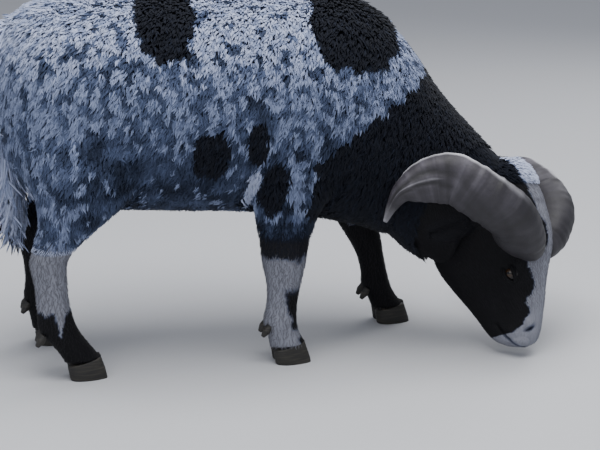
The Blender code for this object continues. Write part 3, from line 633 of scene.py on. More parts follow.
# Markings. Every patch is a soft ellipse seen from one side: middle forward and height, half
# length, half height, how square it is, and how dark. Those of the right side reach over the back.
RIGHT_PATCHES = (
    (-0.256, 0.628, 0.050, 0.076, 2.6, 1.0),
    (0.074, 0.592, 0.082, 0.067, 2.8, 1.0),
    (-0.190, 0.403, 0.032, 0.039, 3.4, 1.0),
    (-0.110, 0.421, 0.018, 0.037, 2.4, 1.0),
    (-0.077, 0.340, 0.023, 0.052, 2.4, 1.0),
    (-0.113, 0.337, 0.012, 0.040, 2.0, 0.10),
    (-0.040, 0.335, 0.014, 0.040, 2.0, 0.36),
)
LEFT_PATCHES = (
    (-0.345, 0.520, 0.060, 0.050, 2.2, 1.0),
    (-0.070, 0.560, 0.075, 0.045, 2.4, 1.0),
    (0.112, 0.590, 0.040, 0.060, 2.2, 1.0),
    (-0.175, 0.405, 0.040, 0.030, 2.2, 1.0),
    (-0.020, 0.360, 0.022, 0.050, 2.4, 1.0),
)
BACK_TOP = 0.655
FLECK_WIDTH, FLECK_HEIGHT = 0.0140, 0.0215

# White of the head: at each height the least front and the greatest out where it is white.
BLAZE = (
    (0.010, -0.040, 0.060), (0.033, -0.018, 0.060), (0.045, 0.023, 0.060), (0.060, 0.037, 0.060),
    (0.081, 0.050, 0.060), (0.099, 0.047, 0.060), (0.115, 0.055, 0.060), (0.141, 0.057, 0.060),
    (0.163, 0.052, 0.045), (0.180, 0.048, 0.036), (0.192, 0.040, 0.018), (0.215, 0.030, 0.012),
    (0.240, 0.020, 0.012), (0.265, 0.010, 0.022), (0.300, 0.000, 0.028), (0.316, 0.000, 0.028),
    (0.335, -0.008, 0.032), (0.356, -0.010, 0.024), (0.380, -0.006, 0.018),
)
BLAZE_EDGE = 0.0012


def ragged(point, size, seed=0.0):
    """Uneven noise with features of a size, about -0.5 to 0.5."""
    return noise.noise(point / size + Vector((seed, seed * 1.7, seed * 0.3)))


def between(table, value):
    """The numbers of a table at a value of its first column, straight between its rows."""
    for before, after in zip(table, table[1:]):
        if value <= after[0]:
            part = min(1.0, max(0.0, (value - before[0]) / (after[0] - before[0])))
            return [a + (b - a) * part for a, b in zip(before[1:], after[1:])]
    return table[-1][1:]


def darkness_of_head(point):
    """The white blaze, poll and muzzle on a black head, with dark nostrils and mouth: bare skin, with
    painted shade in the nostril slits and along the crease of the mouth.
    """
    front, height, out = in_head(point)
    least_front, greatest_out = between(BLAZE, height)
    wander = 0.006 * ragged(point, 0.014, 3.0) + 0.003 * ragged(point, 0.004, 8.0)
    white = blend(front + wander - least_front, -BLAZE_EDGE, BLAZE_EDGE)
    white *= blend(abs(out) + wander - greatest_out, BLAZE_EDGE, -BLAZE_EDGE)
    # Nostril slits and the mouth line darken the white: bare skin there, and painted shade inside the slits
    # and the crease.
    nostril = nostril_slit(front, height) * blend(abs(out), 0.005, 0.010)
    bare_and_shaded = max(nostril, 0.8 * mouth_line(front, height))
    return 1.0 - 0.97 * white * (1.0 - 0.72 * min(1.0, bare_and_shaded * 1.2))


def darkness_of_leg(name, point):
    """White cannons on the right legs, black feet and black left legs."""
    x, y, z = point
    wander = 0.012 * ragged(point, 0.016, 5.0)
    if name == "hind_right":
        tongue = 0.045 * mound(x + 0.449, 0.009) * (1.0 if y < -0.100 else 0.2)
        return 1.0 - 0.95 * blend(z + wander, 0.118 - tongue, 0.126 - tongue)
    if name == "fore_right":
        stripe_back = -0.052 + (0.12 - z) * 0.3
        stripe = blend(x + wander, stripe_back, stripe_back + 0.006) * blend(z, 0.150, 0.125)
        return max(stripe, blend(z + wander, 0.196, 0.204) * 0.92, 0.06)
    return 1.0 if name == "hind_left" or z < 0.19 or ragged(point, 0.02, 2.0) < 0.22 else 0.35


def roan_share(x, z, right):
    """How much of the fleece is dark flecks: few on the back, most on the belly. The rise towards the belly
    is partly the fleece's own flecks and partly painted shade of the underside.
    """
    share = 0.08 + 0.36 * blend(z, 0.61, 0.53) + 0.20 * blend(z, 0.48, 0.38)
    # A dark band along the belly: the fleece's own flecks and painted shade under the body.
    belly_line = 0.355 + 0.080 * blend(x, -0.14, -0.34)
    below = blend(z, belly_line + 0.03, belly_line - 0.03)
    share += 0.45 * below * span(x, -0.45, -0.37, -0.14, -0.09)
    share -= 0.14 * blend(x, -0.36, -0.42) + 0.22 * blend(x, -0.480, -0.525)
    share -= 0.10 * blend(x, -0.16, -0.06)
    share += 0.16 * span(x, -0.50, -0.44, -0.36, -0.28) * blend(z, 0.54, 0.60)
    if not right:
        share -= 0.10
    return min(0.97, max(0.03, share))


def roan(point, right):
    """How dark the flecked fleece is: its pale ground or one of its dark flecks. Both grow darker towards
    the belly as painted shade of the underside.
    """
    x, y, z = point
    fleck = 0.5 + 1.05 * noise.noise(Vector((x / FLECK_WIDTH, y / FLECK_WIDTH, z / FLECK_HEIGHT)))
    # The ground darkens from the back downwards, as painted shade of the lower side.
    pale = 0.09 + 0.16 * blend(ragged(point, 0.011, 9.0), -0.1, 0.4) + 0.20 * blend(z, 0.60, 0.46)
    # Flecks low on the body, forward of the hind legs, darken further as painted shade under the belly.
    low = blend(z, 0.46, 0.36) * blend(x, -0.44, -0.36)
    deep = 0.60 + 0.13 * low + 0.26 * ragged(point, 0.03, 6.0)
    limit = 1.0 - roan_share(x, z, right)
    return pale + (deep - pale) * blend(fleck, limit - 0.04, limit + 0.04)


def darkness_of_trunk(point):
    """Patches, black neck and shoulder, and flecks over the rest."""
    x, y, z = point
    right = y < 0.015
    wander = ragged(point, 0.020, 1.0)
    shoulder = z < 0.375 + 0.60 * (x + 0.015) + 0.02 * wander
    neck_start = (-0.018 if right else 0.045) + 0.02 * wander
    if shoulder and x > neck_start or x > 0.222 + 0.02 * wander:
        return 1.0
    dark = roan(point, right)
    over_back = z if y < 0.0 else 2.0 * BACK_TOP - z
    patches = [(over_back, 0.22, patch) for patch in RIGHT_PATCHES]
    if y > 0.0:
        patches += [(z, 0.70, patch) for patch in LEFT_PATCHES]
    for up, unevenness, (middle, height, half_length, half_height, square, tone) in patches:
        far = (abs(x - middle) / half_length) ** square + (abs(up - height) / half_height) ** square
        inside = blend(far ** (1 / square) + unevenness * wander, 1.02, 0.94)
        dark += (tone - dark) * inside
    return min(1.0, dark)


# Which form a place of the skin belongs to.


def leg_offset(name, point):
    """How far out from a leg's middle line a place is, 1 being the leg's own surface."""
    stations = LEG_LINES[name]
    station = min(stations, key=lambda row: abs(row[2] - point.z))
    return math.hypot((point.x - station[0]) / station[3], (point.y - station[1]) / station[4])


def form_at(point):
    """The form that a place of the skin belongs to."""
    if is_head(point):
        out = in_head(point)[2]
        side, word = (1, "left") if out > 0 else (-1, "right")
        for x, y, z, half_width in EAR_LINES[side]:
            if (point - Vector((x, y, z))).length < half_width * 1.15 + 0.004 and abs(out) > 0.060:
                return "ear_" + word
        return "head"
    if point.x < -0.500 and abs(point.y) < 0.043 and point.z < 0.62:
        return "tail"
    for name in LEGS:
        limit = 1.15 if point.z > 0.27 else 1.6
        if point.z < 0.36 and leg_offset(name, point) < limit:
            return name
    return "neck" if point.x > NECK_FROM else "trunk"


def head_plane():
    """A point and the normal of the plane between head and neck."""
    back = head_point(*HEAD_PLANE_BACK, 0.0)
    foot = head_point(*HEAD_PLANE_FOOT, 0.0)
    normal = (back - foot).cross(HEAD_LEFT).normalized()
    return back, normal if normal.dot(HEAD_FRONT) > 0 else -normal


HEAD_PLANE = head_plane()
LEG_LINES = {name: resample(stations, 40) for name, stations in LEGS.items()}
EAR_LINES = {
    side: [(*head_point(f, h, o, side), w) for f, h, o, w in resample(EAR, 12)] for side in (-1, 1)
}


def is_head(point):
    """Whether a place lies ahead of the plane between head and neck."""
    return (point - HEAD_PLANE[0]).dot(HEAD_PLANE[1]) > 0.0


def turn_share(across, ahead):
    """A direction as a share of a full turn, 0.5 being straight ahead."""
    return math.atan2(across, ahead) / math.tau + 0.5


def darkness(form, point):
    """How dark the coat is at a place: 0 white, 1 black."""
    if form == "head":
        return darkness_of_head(point)
    if form.startswith("ear"):
        return 0.97
    if form in LEGS and point.z < 0.235:
        return darkness_of_leg(form, point)
    if form == "tail":
        return 0.10 + 0.25 * max(0.0, ragged(point, 0.02, 4.0))
    if form in ("hind_left", "fore_left"):
        return 1.0 if point.z < 0.27 else darkness_of_trunk(point)
    if form == "fore_right" and point.z < 0.27:
        return 0.78 + 0.25 * ragged(point, 0.014, 7.0)
    return darkness_of_trunk(point)


def spread_uv(form, point):
    """The place of a root on a flat unwrap of the skin: one island for each form."""
    x, y, z = point
    front, height, out = in_head(point)
    if form == "head":
        along, up = turn_share(out, front + 0.03), height / 0.38
    elif form.startswith("ear"):
        along, up = (abs(out) - 0.05) / 0.08, (height - 0.20) / 0.08
    elif form == "tail":
        along, up = turn_share(y, -(x + 0.53)), (z - 0.25) / 0.38
    elif form in LEGS:
        line = min(LEG_LINES[form], key=lambda row: abs(row[2] - z))
        along, up = turn_share(y - line[1], x - line[0]), z / 0.40
    else:
        form = "body"
        along, up = (x + 0.54) / 0.90, turn_share(z - 0.46 + 0.6 * max(0.0, x - 0.1), y)
    left, low, width, tall = UV_ISLANDS[form]
    return left + width * along, low + tall * up


# Wool and hair: length along the lie, rise over the skin, half width, half thickness, spacing, how
# far apart the middles of its staples are, and the number of its rows of corners. Hair has no staples.
Lock = namedtuple("Lock", "length rise half_width half_thickness spacing staple rows")

LOCKS = {
    "trunk": Lock(0.0180, 0.0172, 0.0023, 0.0016, 0.0024, 0.0098, 2),
    "neck": Lock(0.0165, 0.0110, 0.0020, 0.0014, 0.0025, 0.0090, 2),
    "leg_wool": Lock(0.0155, 0.0104, 0.0019, 0.0013, 0.0025, 0.0085, 2),
    "tail": Lock(0.0620, 0.0085, 0.0020, 0.0014, 0.0042, 0.0150, 7),
    "poll": Lock(0.0140, 0.0080, 0.0016, 0.0012, 0.0026, 0.0080, 3),
    "head": Lock(0.0088, 0.0013, 0.0009, 0.0004, 0.0028, 0.0, 2),
    "muzzle": Lock(0.0046, 0.0008, 0.0007, 0.0003, 0.0024, 0.0, 2),
    "ear": Lock(0.0085, 0.0013, 0.0009, 0.0004, 0.0028, 0.0, 2),
    "leg_hair": Lock(0.0110, 0.0017, 0.0012, 0.0005, 0.0038, 0.0, 2),
}

# Where along a lock its outer end shows, and takes the markings.
SHOWN_END = 0.75
LOCK_SIDES = 3

# How far the tips of a staple draw together, 1 being all the way.
GATHER = 0.22

# Rows of a woolly lock crowd towards its tip, which makes it blunt. 1 would space them evenly.
BLUNTNESS = 0.7

# How much of a lock's shading follows the skin below it, as soft wool and sleek hair do.
SOFTNESS = 0.60

# How many places are tried for each square of the spacing.
TRIES = 3.2

# How deep the root of a lock sits in the skin.
WOOL_ROOT, HAIR_ROOT = 0.0020, 0.0004

# Width of the patch that a lock takes on the unwrap.
UV_PATCH = 0.0028

# How far the way of a lock strays, in wool and in the hair of head and ears.
STRAY_WOOL, STRAY_HAIR = 0.34, 0.12


def lie_at(form, point, normal, luck):
    """The way the coat lies: down and back on the body, up from the nose on the head."""
    stray = STRAY_WOOL
    if form == "head":
        stray = STRAY_HAIR
        on_poll = in_head(point)[1] > 0.285
        way = HEAD_FRONT * 0.9 - HEAD_UP * 0.6 if on_poll else HEAD_UP - HEAD_FRONT * 0.55
    elif form.startswith("ear"):
        stray = STRAY_HAIR
        way = EAR_WAYS[form]
    elif form == "tail" or form in LEGS:
        way = Vector((-0.10, 0.0, -1.0))
    else:
        way = Vector((-0.45, math.copysign(0.45, point.y), -1.0))
    way = way + Vector(luck.normal(0.0, stray, 3))
    way = way - normal * way.dot(normal)
    return way.normalized() if way.length > 1e-4 else normal.orthogonal().normalized()


EAR_WAYS = {
    "ear_" + word: head_point(*EAR[-1][:3], side) - head_point(*EAR[0][:3], side)
    for word, side in (("right", -1), ("left", 1))
}


def lock_kind(form, point):
    """Which kind of lock grows at a place."""
    if form == "head":
        front, height, out = in_head(point)
        if height > 0.318 and front > -0.05:
            return "poll"
        near_eye = math.hypot(front - EYE_FRONT, height - EYE_HEIGHT) < 0.022 and abs(out) > 0.03
        return "muzzle" if near_eye or height < 0.085 else "head"
    if form.startswith("ear"):
        return "ear"
    if form in LEGS:
        return "leg_hair" if point.z < LEG_WOOL_FOOT + 0.012 else "leg_wool"
    return form


def lock_size(kind, point):
    """How large a lock is at a place, against the size of its kind."""
    if kind == "poll":
        return 0.4 + 0.6 * blend(in_head(point)[1], 0.310, 0.335)
    if kind == "leg_wool":
        return 0.25 + 0.75 * blend(point.z, LEG_WOOL_FOOT, LEG_WOOL_TOP)
    if kind == "leg_hair":
        return 0.8 + 0.2 * blend(point.z, 0.06, 0.10)
    return 1.0


def read(items, name, width, kind=float):
    """One value of every item of a mesh, a row each."""
    values = np.empty(len(items) * width, kind)
    items.foreach_get(name, values)
    return values.reshape(-1, width)


def length_of(rows):
    """The length of each vector, kept as a last axis of one."""
    return np.linalg.norm(rows, axis=-1, keepdims=True)


def surface_arrays(mesh):
    """Corner places and smooth normals of each triangle of a mesh, in the same order on every run."""
    mesh.calc_loop_triangles()
    corners = read(mesh.loop_triangles, "vertices", 3, int)
    turned = (corners.argmin(axis=1)[:, None] + np.arange(3)) % 3
    corners = np.take_along_axis(corners, turned, axis=1)
    corners = corners[np.lexsort(corners.T[::-1])]
    return read(mesh.vertices, "co", 3)[corners], read(mesh.vertices, "normal", 3)[corners]


def scatter(corners, normals, spacing, luck):
    """Places and normals spread over triangles, and the number of each one's triangle."""
    area = np.linalg.norm(np.cross(corners[:, 1] - corners[:, 0], corners[:, 2] - corners[:, 0]), axis=1)
    wanted = int(area.sum() * 0.5 / spacing**2 * TRIES)
    picked = luck.choice(len(area), wanted, p=area / area.sum())
    first, second = luck.random(wanted), luck.random(wanted)
    over = first + second > 1
    first[over], second[over] = 1 - first[over], 1 - second[over]
    weights = np.stack([1 - first - second, first, second], axis=1)[:, :, None]
    places = (corners[picked] * weights).sum(axis=1)
    directions = (normals[picked] * weights).sum(axis=1)
    return places, directions / length_of(directions), picked


def thin_out(places, spacing):
    """The numbers of places kept so that no two are nearer than the spacing."""
    cells = {}
    kept = []
    for number, (x, y, z) in enumerate(places.tolist()):
        cell = (math.floor(x / spacing), math.floor(y / spacing), math.floor(z / spacing))
        free = True
        for dx in (-1, 0, 1):
            for dy in (-1, 0, 1):
                for dz in (-1, 0, 1):
                    for a, b, c in cells.get((cell[0] + dx, cell[1] + dy, cell[2] + dz), ()):
                        if (a - x) ** 2 + (b - y) ** 2 + (c - z) ** 2 < spacing**2:
                            free = False
        if free:
            cells.setdefault(cell, []).append((x, y, z))
            kept.append(number)
    return kept


def grow_roots(skin, luck):
    """Roots of every lock, by kind: place, normal, lie, size, darkness and place on the unwrap."""
    corners, normals = surface_arrays(skin.data)
    middles = [Vector(middle) for middle in corners.mean(axis=1)]
    forms = [form_at(middle) for middle in middles]
    kinds = np.array([lock_kind(form, middle) for form, middle in zip(forms, middles)])
    roots = {}
    for kind, lock in LOCKS.items():
        chosen = np.flatnonzero(kinds == kind)
        places, directions, owners = scatter(corners[chosen], normals[chosen], lock.spacing, luck)
        roots[kind] = []
        for number in thin_out(places, lock.spacing):
            point, normal = Vector(places[number]), Vector(directions[number])
            form = forms[chosen[owners[number]]]
            if is_bare(form, point):
                continue
            lie = lie_at(form, point, normal, luck)
            dark = darkness(form, point + lie * lock.length * SHOWN_END)
            roots[kind].append((point, normal, lie, lock_size(kind, point), dark, spread_uv(form, point)))
    return roots


def is_bare(form, point):
    """Skin with no hair: the eyes, nostrils, the line of the mouth and the ends of the legs."""
    if form in LEGS:
        return point.z < 0.034
    if form != "head":
        return False
    front, height, out = in_head(point)
    if abs(out) > 0.03 and math.hypot(front - EYE_FRONT, height - EYE_HEIGHT) < EYE_BARE:
        return True
    return abs(out) > 0.008 and (nostril_slit(front, height) > 0.35 or mouth_line(front, height) > 0.5)


def staple_middles(places, spacing):
    """For each place the number of the place that is the middle of its staple."""
    middles = thin_out(places, spacing)
    tree = KDTree(len(middles))
    for middle in middles:
        tree.insert(places[middle], middle)
    tree.balance()
    return np.array([tree.find(place)[1] for place in places])


def lock_paths(kind, roots, size, luck):
    """The middle line of every lock, and the way across it."""
    lock = LOCKS[kind]
    along = np.linspace(0.0, 1.0, lock.rows + 1) ** (BLUNTNESS if lock.staple else 1.0)
    place, normal, lie = (np.array([root[part] for root in roots])[:, None] for part in range(3))
    across = np.cross(normal, lie)
    count = len(roots)
    bend = along * math.pi / 2
    run = along if kind == "tail" or not lock.staple else 1.0 - np.cos(bend)
    lift = np.sin(np.minimum(math.pi / 2, bend * 1.6) if kind == "tail" else bend) * lock.rise
    lift -= (WOOL_ROOT if lock.staple else HAIR_ROOT) * (1.0 - along)
    stand = luck.uniform(0.87, 1.04, count)
    if lock.staple:
        middle = staple_middles(place[:, 0], lock.staple)
        stand = stand * 0.35 + 0.65 * stand[middle]
    wave = luck.uniform(-1, 1, (count, 1)) * np.sin(along * math.pi * 1.5) * lock.half_width
    wave += luck.uniform(-1, 1, (count, 1)) * along**2 * lock.half_width
    path = place + lie * (run * lock.length * size[:, None])[..., None]
    path += normal * (lift * (size * stand)[:, None])[..., None]
    path += across * (wave * size[:, None])[..., None]
    if lock.staple:
        tips = path[:, -1]
        path += (tips[middle] - tips)[:, None] * (GATHER * along**1.5)[None, :, None]
    return along, path, across


def grow_locks(name, kind, roots, luck):
    """One coat piece: a curved, tapered lock on every root."""
    lock = LOCKS[kind]
    count = len(roots)
    size = np.array([root[3] for root in roots]) * luck.uniform(0.84, 1.15, count)
    along, path, across = lock_paths(kind, roots, size, luck)
    ahead = np.gradient(path, axis=1)
    ahead /= length_of(ahead)
    side = across - ahead * (across * ahead).sum(axis=2)[..., None]
    side /= length_of(side)
    over = np.cross(ahead, side)
    taper = 1.0 - 0.55 * along
    if lock.staple:
        taper = 0.66 + 0.50 * np.sin(along * math.pi * 0.8) - 0.45 * along**3
    turn = np.arange(LOCK_SIDES) / LOCK_SIDES * math.tau + math.pi / 2
    aside = np.cos(turn)[:, None] * side[:, :, None]
    above = np.sin(turn)[:, None] * over[:, :, None]
    ring = aside * lock.half_width + above * lock.half_thickness
    ring = path[:, :, None] + ring * (taper * size[:, None])[..., None, None]
    normal = np.array([root[1] for root in roots])[:, None]
    piece = join_copies(name, with_tips(ring, path[:, -1:]), lock_faces(LOCK_SIDES, lock.rows))
    soften(piece.data, with_tips(aside + above, normal) * (1.0 - SOFTNESS) + normal * SOFTNESS)
    dark = np.array([root[4] for root in roots]) + luck.normal(0.0, 0.03, count)
    reach = np.append(np.repeat(along[:-1], LOCK_SIDES), 1.0)
    swing = np.append(np.tile(np.cos(turn), lock.rows), 0.0)
    add_values(piece.data, "dark", np.repeat(np.clip(dark, 0.0, 1.0), len(reach)))
    add_values(piece.data, "tone", np.repeat(luck.random(count), len(reach)))
    add_values(piece.data, "reach", np.tile(reach, count))
    spot = np.array([root[5] for root in roots])[:, None]
    patch = np.stack([swing * 0.5, reach - 0.5], axis=1) * UV_PATCH
    add_patch_map(piece.data, (spot + patch[None]).reshape(-1, 2))
    return piece


def with_tips(rings, tips):
    """The corners of all rings but the last of every lock, then its tip."""
    return np.concatenate([rings[:, :-1].reshape(len(rings), -1, 3), tips], axis=1)


def lock_faces(sides, rows):
    """The faces of one lock: its sides, its tip and its root."""
    faces = []
    for row in range(rows - 1):
        for step in range(sides):
            after = (step + 1) % sides
            first, second = row * sides, (row + 1) * sides
            faces.append((first + step, first + after, second + after))
            faces.append((first + step, second + after, second + step))
    end = (rows - 1) * sides
    for step in range(sides):
        faces.append((end + step, end + (step + 1) % sides, rows * sides))
    for step in range(1, sides - 1):
        faces.append((0, step + 1, step))
    return np.array(faces)


def join_copies(name, vertices, faces):
    """One mesh object that joins the same faces on every lock's own vertices."""
    count, each = vertices.shape[:2]
    corners = (faces[None] + (np.arange(count) * each)[:, None, None]).reshape(-1)
    mesh = bpy.data.meshes.new(name)
    mesh.vertices.add(count * each)
    mesh.vertices.foreach_set("co", vertices.reshape(-1))
    mesh.loops.add(len(corners))
    mesh.loops.foreach_set("vertex_index", corners)
    mesh.polygons.add(len(corners) // 3)
    mesh.polygons.foreach_set("loop_start", np.arange(0, len(corners), 3))
    mesh.update(calc_edges=True)
    mesh.shade_smooth()
    made = bpy.data.objects.new(name, mesh)
    bpy.context.scene.collection.objects.link(made)
    return made


def soften(mesh, directions):
    """Shade each vertex by a direction of its own."""
    flat = directions.reshape(-1, 3)
    flat = flat / np.linalg.norm(flat, axis=1)[:, None]
    mesh.normals_split_custom_set_from_vertices(flat)


def add_values(mesh, name, values):
    """A number on each vertex."""
    mesh.attributes.new(name, "FLOAT", "POINT").data.foreach_set("value", values.astype(np.float32))


def add_patch_map(mesh, spots):
    """The unwrap on which every lock is a small patch at its root's place."""
    corners = read(mesh.loops, "vertex_index", 1, int)[:, 0]
    values = spots[corners].reshape(-1).astype(np.float32)
    mesh.uv_layers.new(name="OFBake").data.foreach_set("uv", values)


def coat_name(kind, point):
    """The coat piece that a lock belongs to."""
    side = "right" if point.y < 0 else "left"
    if kind == "trunk":
        part = "rump" if point.x < -0.31 else "flank" if point.x < -0.10 else "shoulder"
        level = "upper" if point.z > 0.47 else "lower"
        return "fleece_" + part + "_" + level + "_" + side
    if kind == "neck":
        return "fleece_neck_" + side
    if kind == "leg_wool":
        return "fleece_thighs" if point.x < -0.2 else "fleece_forearms"
    return COAT_NAMES[kind]


COAT_NAMES = {
    "tail": "tail_locks",
    "poll": "poll_wool",
    "head": "hair_head",
    "muzzle": "hair_muzzle",
    "ear": "hair_ears",
    "leg_hair": "hair_legs",
}


def make_coat(skin, luck):
    """Every coat piece."""
    made = []
    for kind, roots in grow_roots(skin, luck).items():
        groups = {}
        for root in roots:
            groups.setdefault(coat_name(kind, root[0]), []).append(root)
        for name in sorted(groups):
            made.append((grow_locks(name, kind, groups[name], luck), kind))
    return made


def horn_ring(frame_here, half_width, half_depth, along, curl, marks):
    """One section of a horn. Its marks are how pale its rim is, a painted highlight along the outer curve
    and the ridge between the grooves with a paler tip, how dark it is, painted shade in the grooves, on the
    under side and at the base, and how far along it.
    """
    point, deep, wide = frame_here
    worn = blend(along, 1.0, 0.70)
    ring = 0.017 * math.sin(curl * 62.0 + 2.0 * math.sin(curl * 17.0)) + 0.008 * math.sin(curl * 171.0)
    grooved = span(along, 0.46, 0.62, 0.84, 0.95)
    wander = 0.10 * math.sin(curl * 23.0)

    def place(c, s):
        angle = math.atan2(s, c)
        # Two grooves along the upper face, sunk into the horn and darkened through the hollow mark as
        # painted shade.
        upper = mound(angle - 0.30 - wander, 0.26) * grooved
        lower = mound(angle + 0.24 - wander, 0.13) * grooved
        uneven = 0.010 * math.sin(angle * 5.0 + curl * 20.0) + 0.006 * math.sin(angle * 11.0 - curl * 33.0)
        swell = 1.0 + (ring + uneven) * worn - 0.11 * upper - 0.05 * lower
        swell += 0.030 * mound(angle - 0.02, 0.13) * grooved
        # A painted highlight along the outer curve, which faces the light, and along the ridge between the
        # grooves.
        rim = mound(angle - 1.45, 0.34) * blend(along, 0.12, 0.36)
        rim += 0.45 * mound(angle - 0.02, 0.10) * grooved
        # Painted shade at the base and on the under side.
        shade = 0.95 * blend(along, 0.60, 0.10) + 0.50 * blend(-s, -0.3, 0.6)
        pale = min(1.0, rim + 0.5 * blend(along, 0.84, 1.0))
        marks.append((pale, min(1.0, upper + 0.7 * lower + shade), curl))
        across = half_width * c * swell * (1.0 + 0.18 * s) * (1.0 - 0.10 * max(0.0, c) ** 6)
        return point + wide * across + deep * (half_depth * s * swell)

    return place


def make_horn(name, side):
    """One horn, ringed, grooved and worn smooth at its tip, with its marks on its vertices."""
    stations = resample(HORN, RINGS["horn"])
    points = [head_point(*station[:3], side) for station in stations]
    centre = head_point(*CURL_CENTRE, 0.0)

    def away(point):
        """Away from the middle of the curl, seen from the side."""
        return (point - centre) - HEAD_LEFT * (point - centre).dot(HEAD_LEFT)

    rings, marks = [], []
    curl = 0.0
    for index, (point, deep, wide) in enumerate(path_frames(points, away)):
        if index:
            curl += (point - points[index - 1]).length * 2.2
        half_depth, half_width = stations[index][3:]
        here = (point, deep, wide * side)
        rings.append(horn_ring(here, half_width, half_depth, index / RINGS["horn"], curl, marks))
    horn = loft(name, rings, CORNERS["horn"])
    # Marks of each vertex: rim is a painted highlight with a paler tip, hollow is painted shade, growth is
    # how far along the horn.
    for word, values in zip(("rim", "hollow", "growth"), np.array(marks).T):
        add_values(horn.data, word, values)
    return horn


def claw_ring(foot, side, level, size, shift):
    """One section of a claw: its inner side is flat and its toe is narrow."""
    x, y, z = foot

    def place(c, s):
        forward = 0.032 * size * c
        wide = 0.01325 * size * s * (1.0 - 0.28 * c)
        wide = max(wide * side, -0.01166) * side
        top = z + CLAW_SLOPE * (forward + shift) - 0.0003
        growth = 0.0003 * math.sin(level * 60.0)
        height = level if level <= SOLE else SOLE + (top - SOLE) * (level - SOLE) / (1.0 - SOLE)
        return Vector((x + forward + shift + growth, y + 0.0142 * side + wide, height))

    return place


def make_claws():
    """Two claws to each foot, with rings of growth round them."""
    steps = 14
    made = []
    for name, stations in LEGS.items():
        foot = stations[-1][:3]
        away = 1 if foot[1] > 0 else -1
        for word, side in (("outer", away), ("inner", -away)):
            rings = [claw_ring(foot, side, 0.0, 0.97, 0.008), claw_ring(foot, side, 0.0012, 1.005, 0.0078)]
            for step in range(1, steps + 1):
                level = SOLE + (1.0 - SOLE) * step / steps
                rings.append(claw_ring(foot, side, level, 1.02 - 0.12 * level, 0.0072 * (1.0 - level)))
            claw = loft("horny_claw_" + name + "_" + word, rings, CORNERS["claw"])
            made.append((claw, "claw_" + name + "_" + word))
    return made


def add_node(tree, kind, inputs=None, **settings):
    """Add a shader node. An input is a constant, or the socket that feeds it."""
    made = tree.nodes.new("ShaderNode" + kind)
    for setting, value in settings.items():
        setattr(made, setting, value)
    for socket, value in (inputs or {}).items():
        if isinstance(value, bpy.types.NodeSocket):
            tree.links.new(value, made.inputs[socket])
        else:
            made.inputs[socket].default_value = value
    return made


def mesh_value(tree, name):
    """A number that the mesh carries."""
    return add_node(tree, "Attribute", attribute_name=name).outputs["Fac"]


def object_place(tree, stretch=None):
    """The place in metres, or stretched along each axis."""
    where = add_node(tree, "TexCoord").outputs["Object"]
    if stretch:
        where = add_node(tree, "Mapping", {"Vector": where, "Scale": stretch}).outputs["Vector"]
    return where


def grain(tree, where, scale, detail=2.0):
    """Noise over places."""
    return add_node(tree, "TexNoise", {"Vector": where, "Scale": scale, "Detail": detail}).outputs["Fac"]


def ranged(tree, value, low, high, start=0.0, end=1.0):
    """A value that goes from start to end, made to go from low to high."""
    inputs = {"Value": value, "From Min": start, "From Max": end, "To Min": low, "To Max": high}
    return add_node(tree, "MapRange", inputs).outputs["Result"]


def worked(tree, operation, first, second):
    """Two numbers worked into one."""
    return add_node(tree, "Math", {0: first, 1: second}, operation=operation).outputs["Value"]


def shaded(tree, colour, amount):
    """A colour made darker or lighter by an amount."""
    return add_node(tree, "VectorMath", {0: colour, "Scale": amount}, operation="SCALE").outputs["Vector"]


def coloured(tree, value, stops):
    """A colour for each value from 0 to 1."""
    ramp = add_node(tree, "ValToRGB", {"Fac": value})
    band = ramp.color_ramp
    while len(band.elements) < len(stops):
        band.elements.new(0.5)
    for element, (position, shade) in zip(band.elements, stops):
        element.position = position
        element.color = linear(shade)
    return ramp.outputs["Color"]


def new_material(name):
    """An empty node material and its Principled shader."""
    material = bpy.data.materials.new(name)
    material.use_nodes = True
    return material, material.node_tree, material.node_tree.nodes["Principled BSDF"]


def finish_shader(tree, shader, colour, constants, relief=None):
    """Give a shader its colour, its constants and its relief: height, strength and depth."""
    tree.links.new(colour, shader.inputs["Base Color"])
    for socket, value in constants.items():
        shader.inputs[socket].default_value = value
    if relief:
        inputs = dict(zip(("Height", "Strength", "Distance"), relief))
        tree.links.new(add_node(tree, "Bump", inputs).outputs["Normal"], shader.inputs["Normal"])


def coat_material(name, stops, roughness, sheen, shade_at_root):
    """Wool or hair: its colour goes from white to black by the coat's own marking values.

    Each lock has its own tone. Towards its root each lock is painted darker, as painted shade among the
    locks, or lighter, as painted light, by its shade at the root. Fine relief gives its crimp.
    """
    material, tree, shader = new_material(name)
    tone = ranged(tree, mesh_value(tree, "tone"), 0.82, 1.10)
    # Painted shade or painted light at the root: darker where the shade at the root is below 1, lighter
    # where it is above.
    root = ranged(tree, mesh_value(tree, "reach"), shade_at_root, 1.0, 0.0, 0.7)
    colour = coloured(tree, mesh_value(tree, "dark"), stops)
    colour = shaded(tree, colour, worked(tree, "MULTIPLY", tone, root))
    constants = {"Roughness": roughness, "Sheen Weight": sheen, "Sheen Roughness": 0.5}
    constants["Specular IOR Level"] = 0.2
    crimp = grain(tree, object_place(tree), 900.0, 3.0)
    finish_shader(tree, shader, colour, constants, (crimp, 0.3, 0.0006))
    return material


def skin_material():
    """Skin under the coat: the coat's own colours, with the grain of close short hair."""
    material, tree, shader = new_material("haired_skin")
    hairs = grain(tree, object_place(tree, (900.0, 900.0, 260.0)), 1.0)
    colour = coloured(tree, mesh_value(tree, "dark"), SKIN_STOPS)
    colour = shaded(tree, colour, ranged(tree, hairs, 0.75, 1.15))
    constants = {"Roughness": 0.75, "Specular IOR Level": 0.2}
    finish_shader(tree, shader, colour, constants, (hairs, 0.5, 0.0008))
    return material


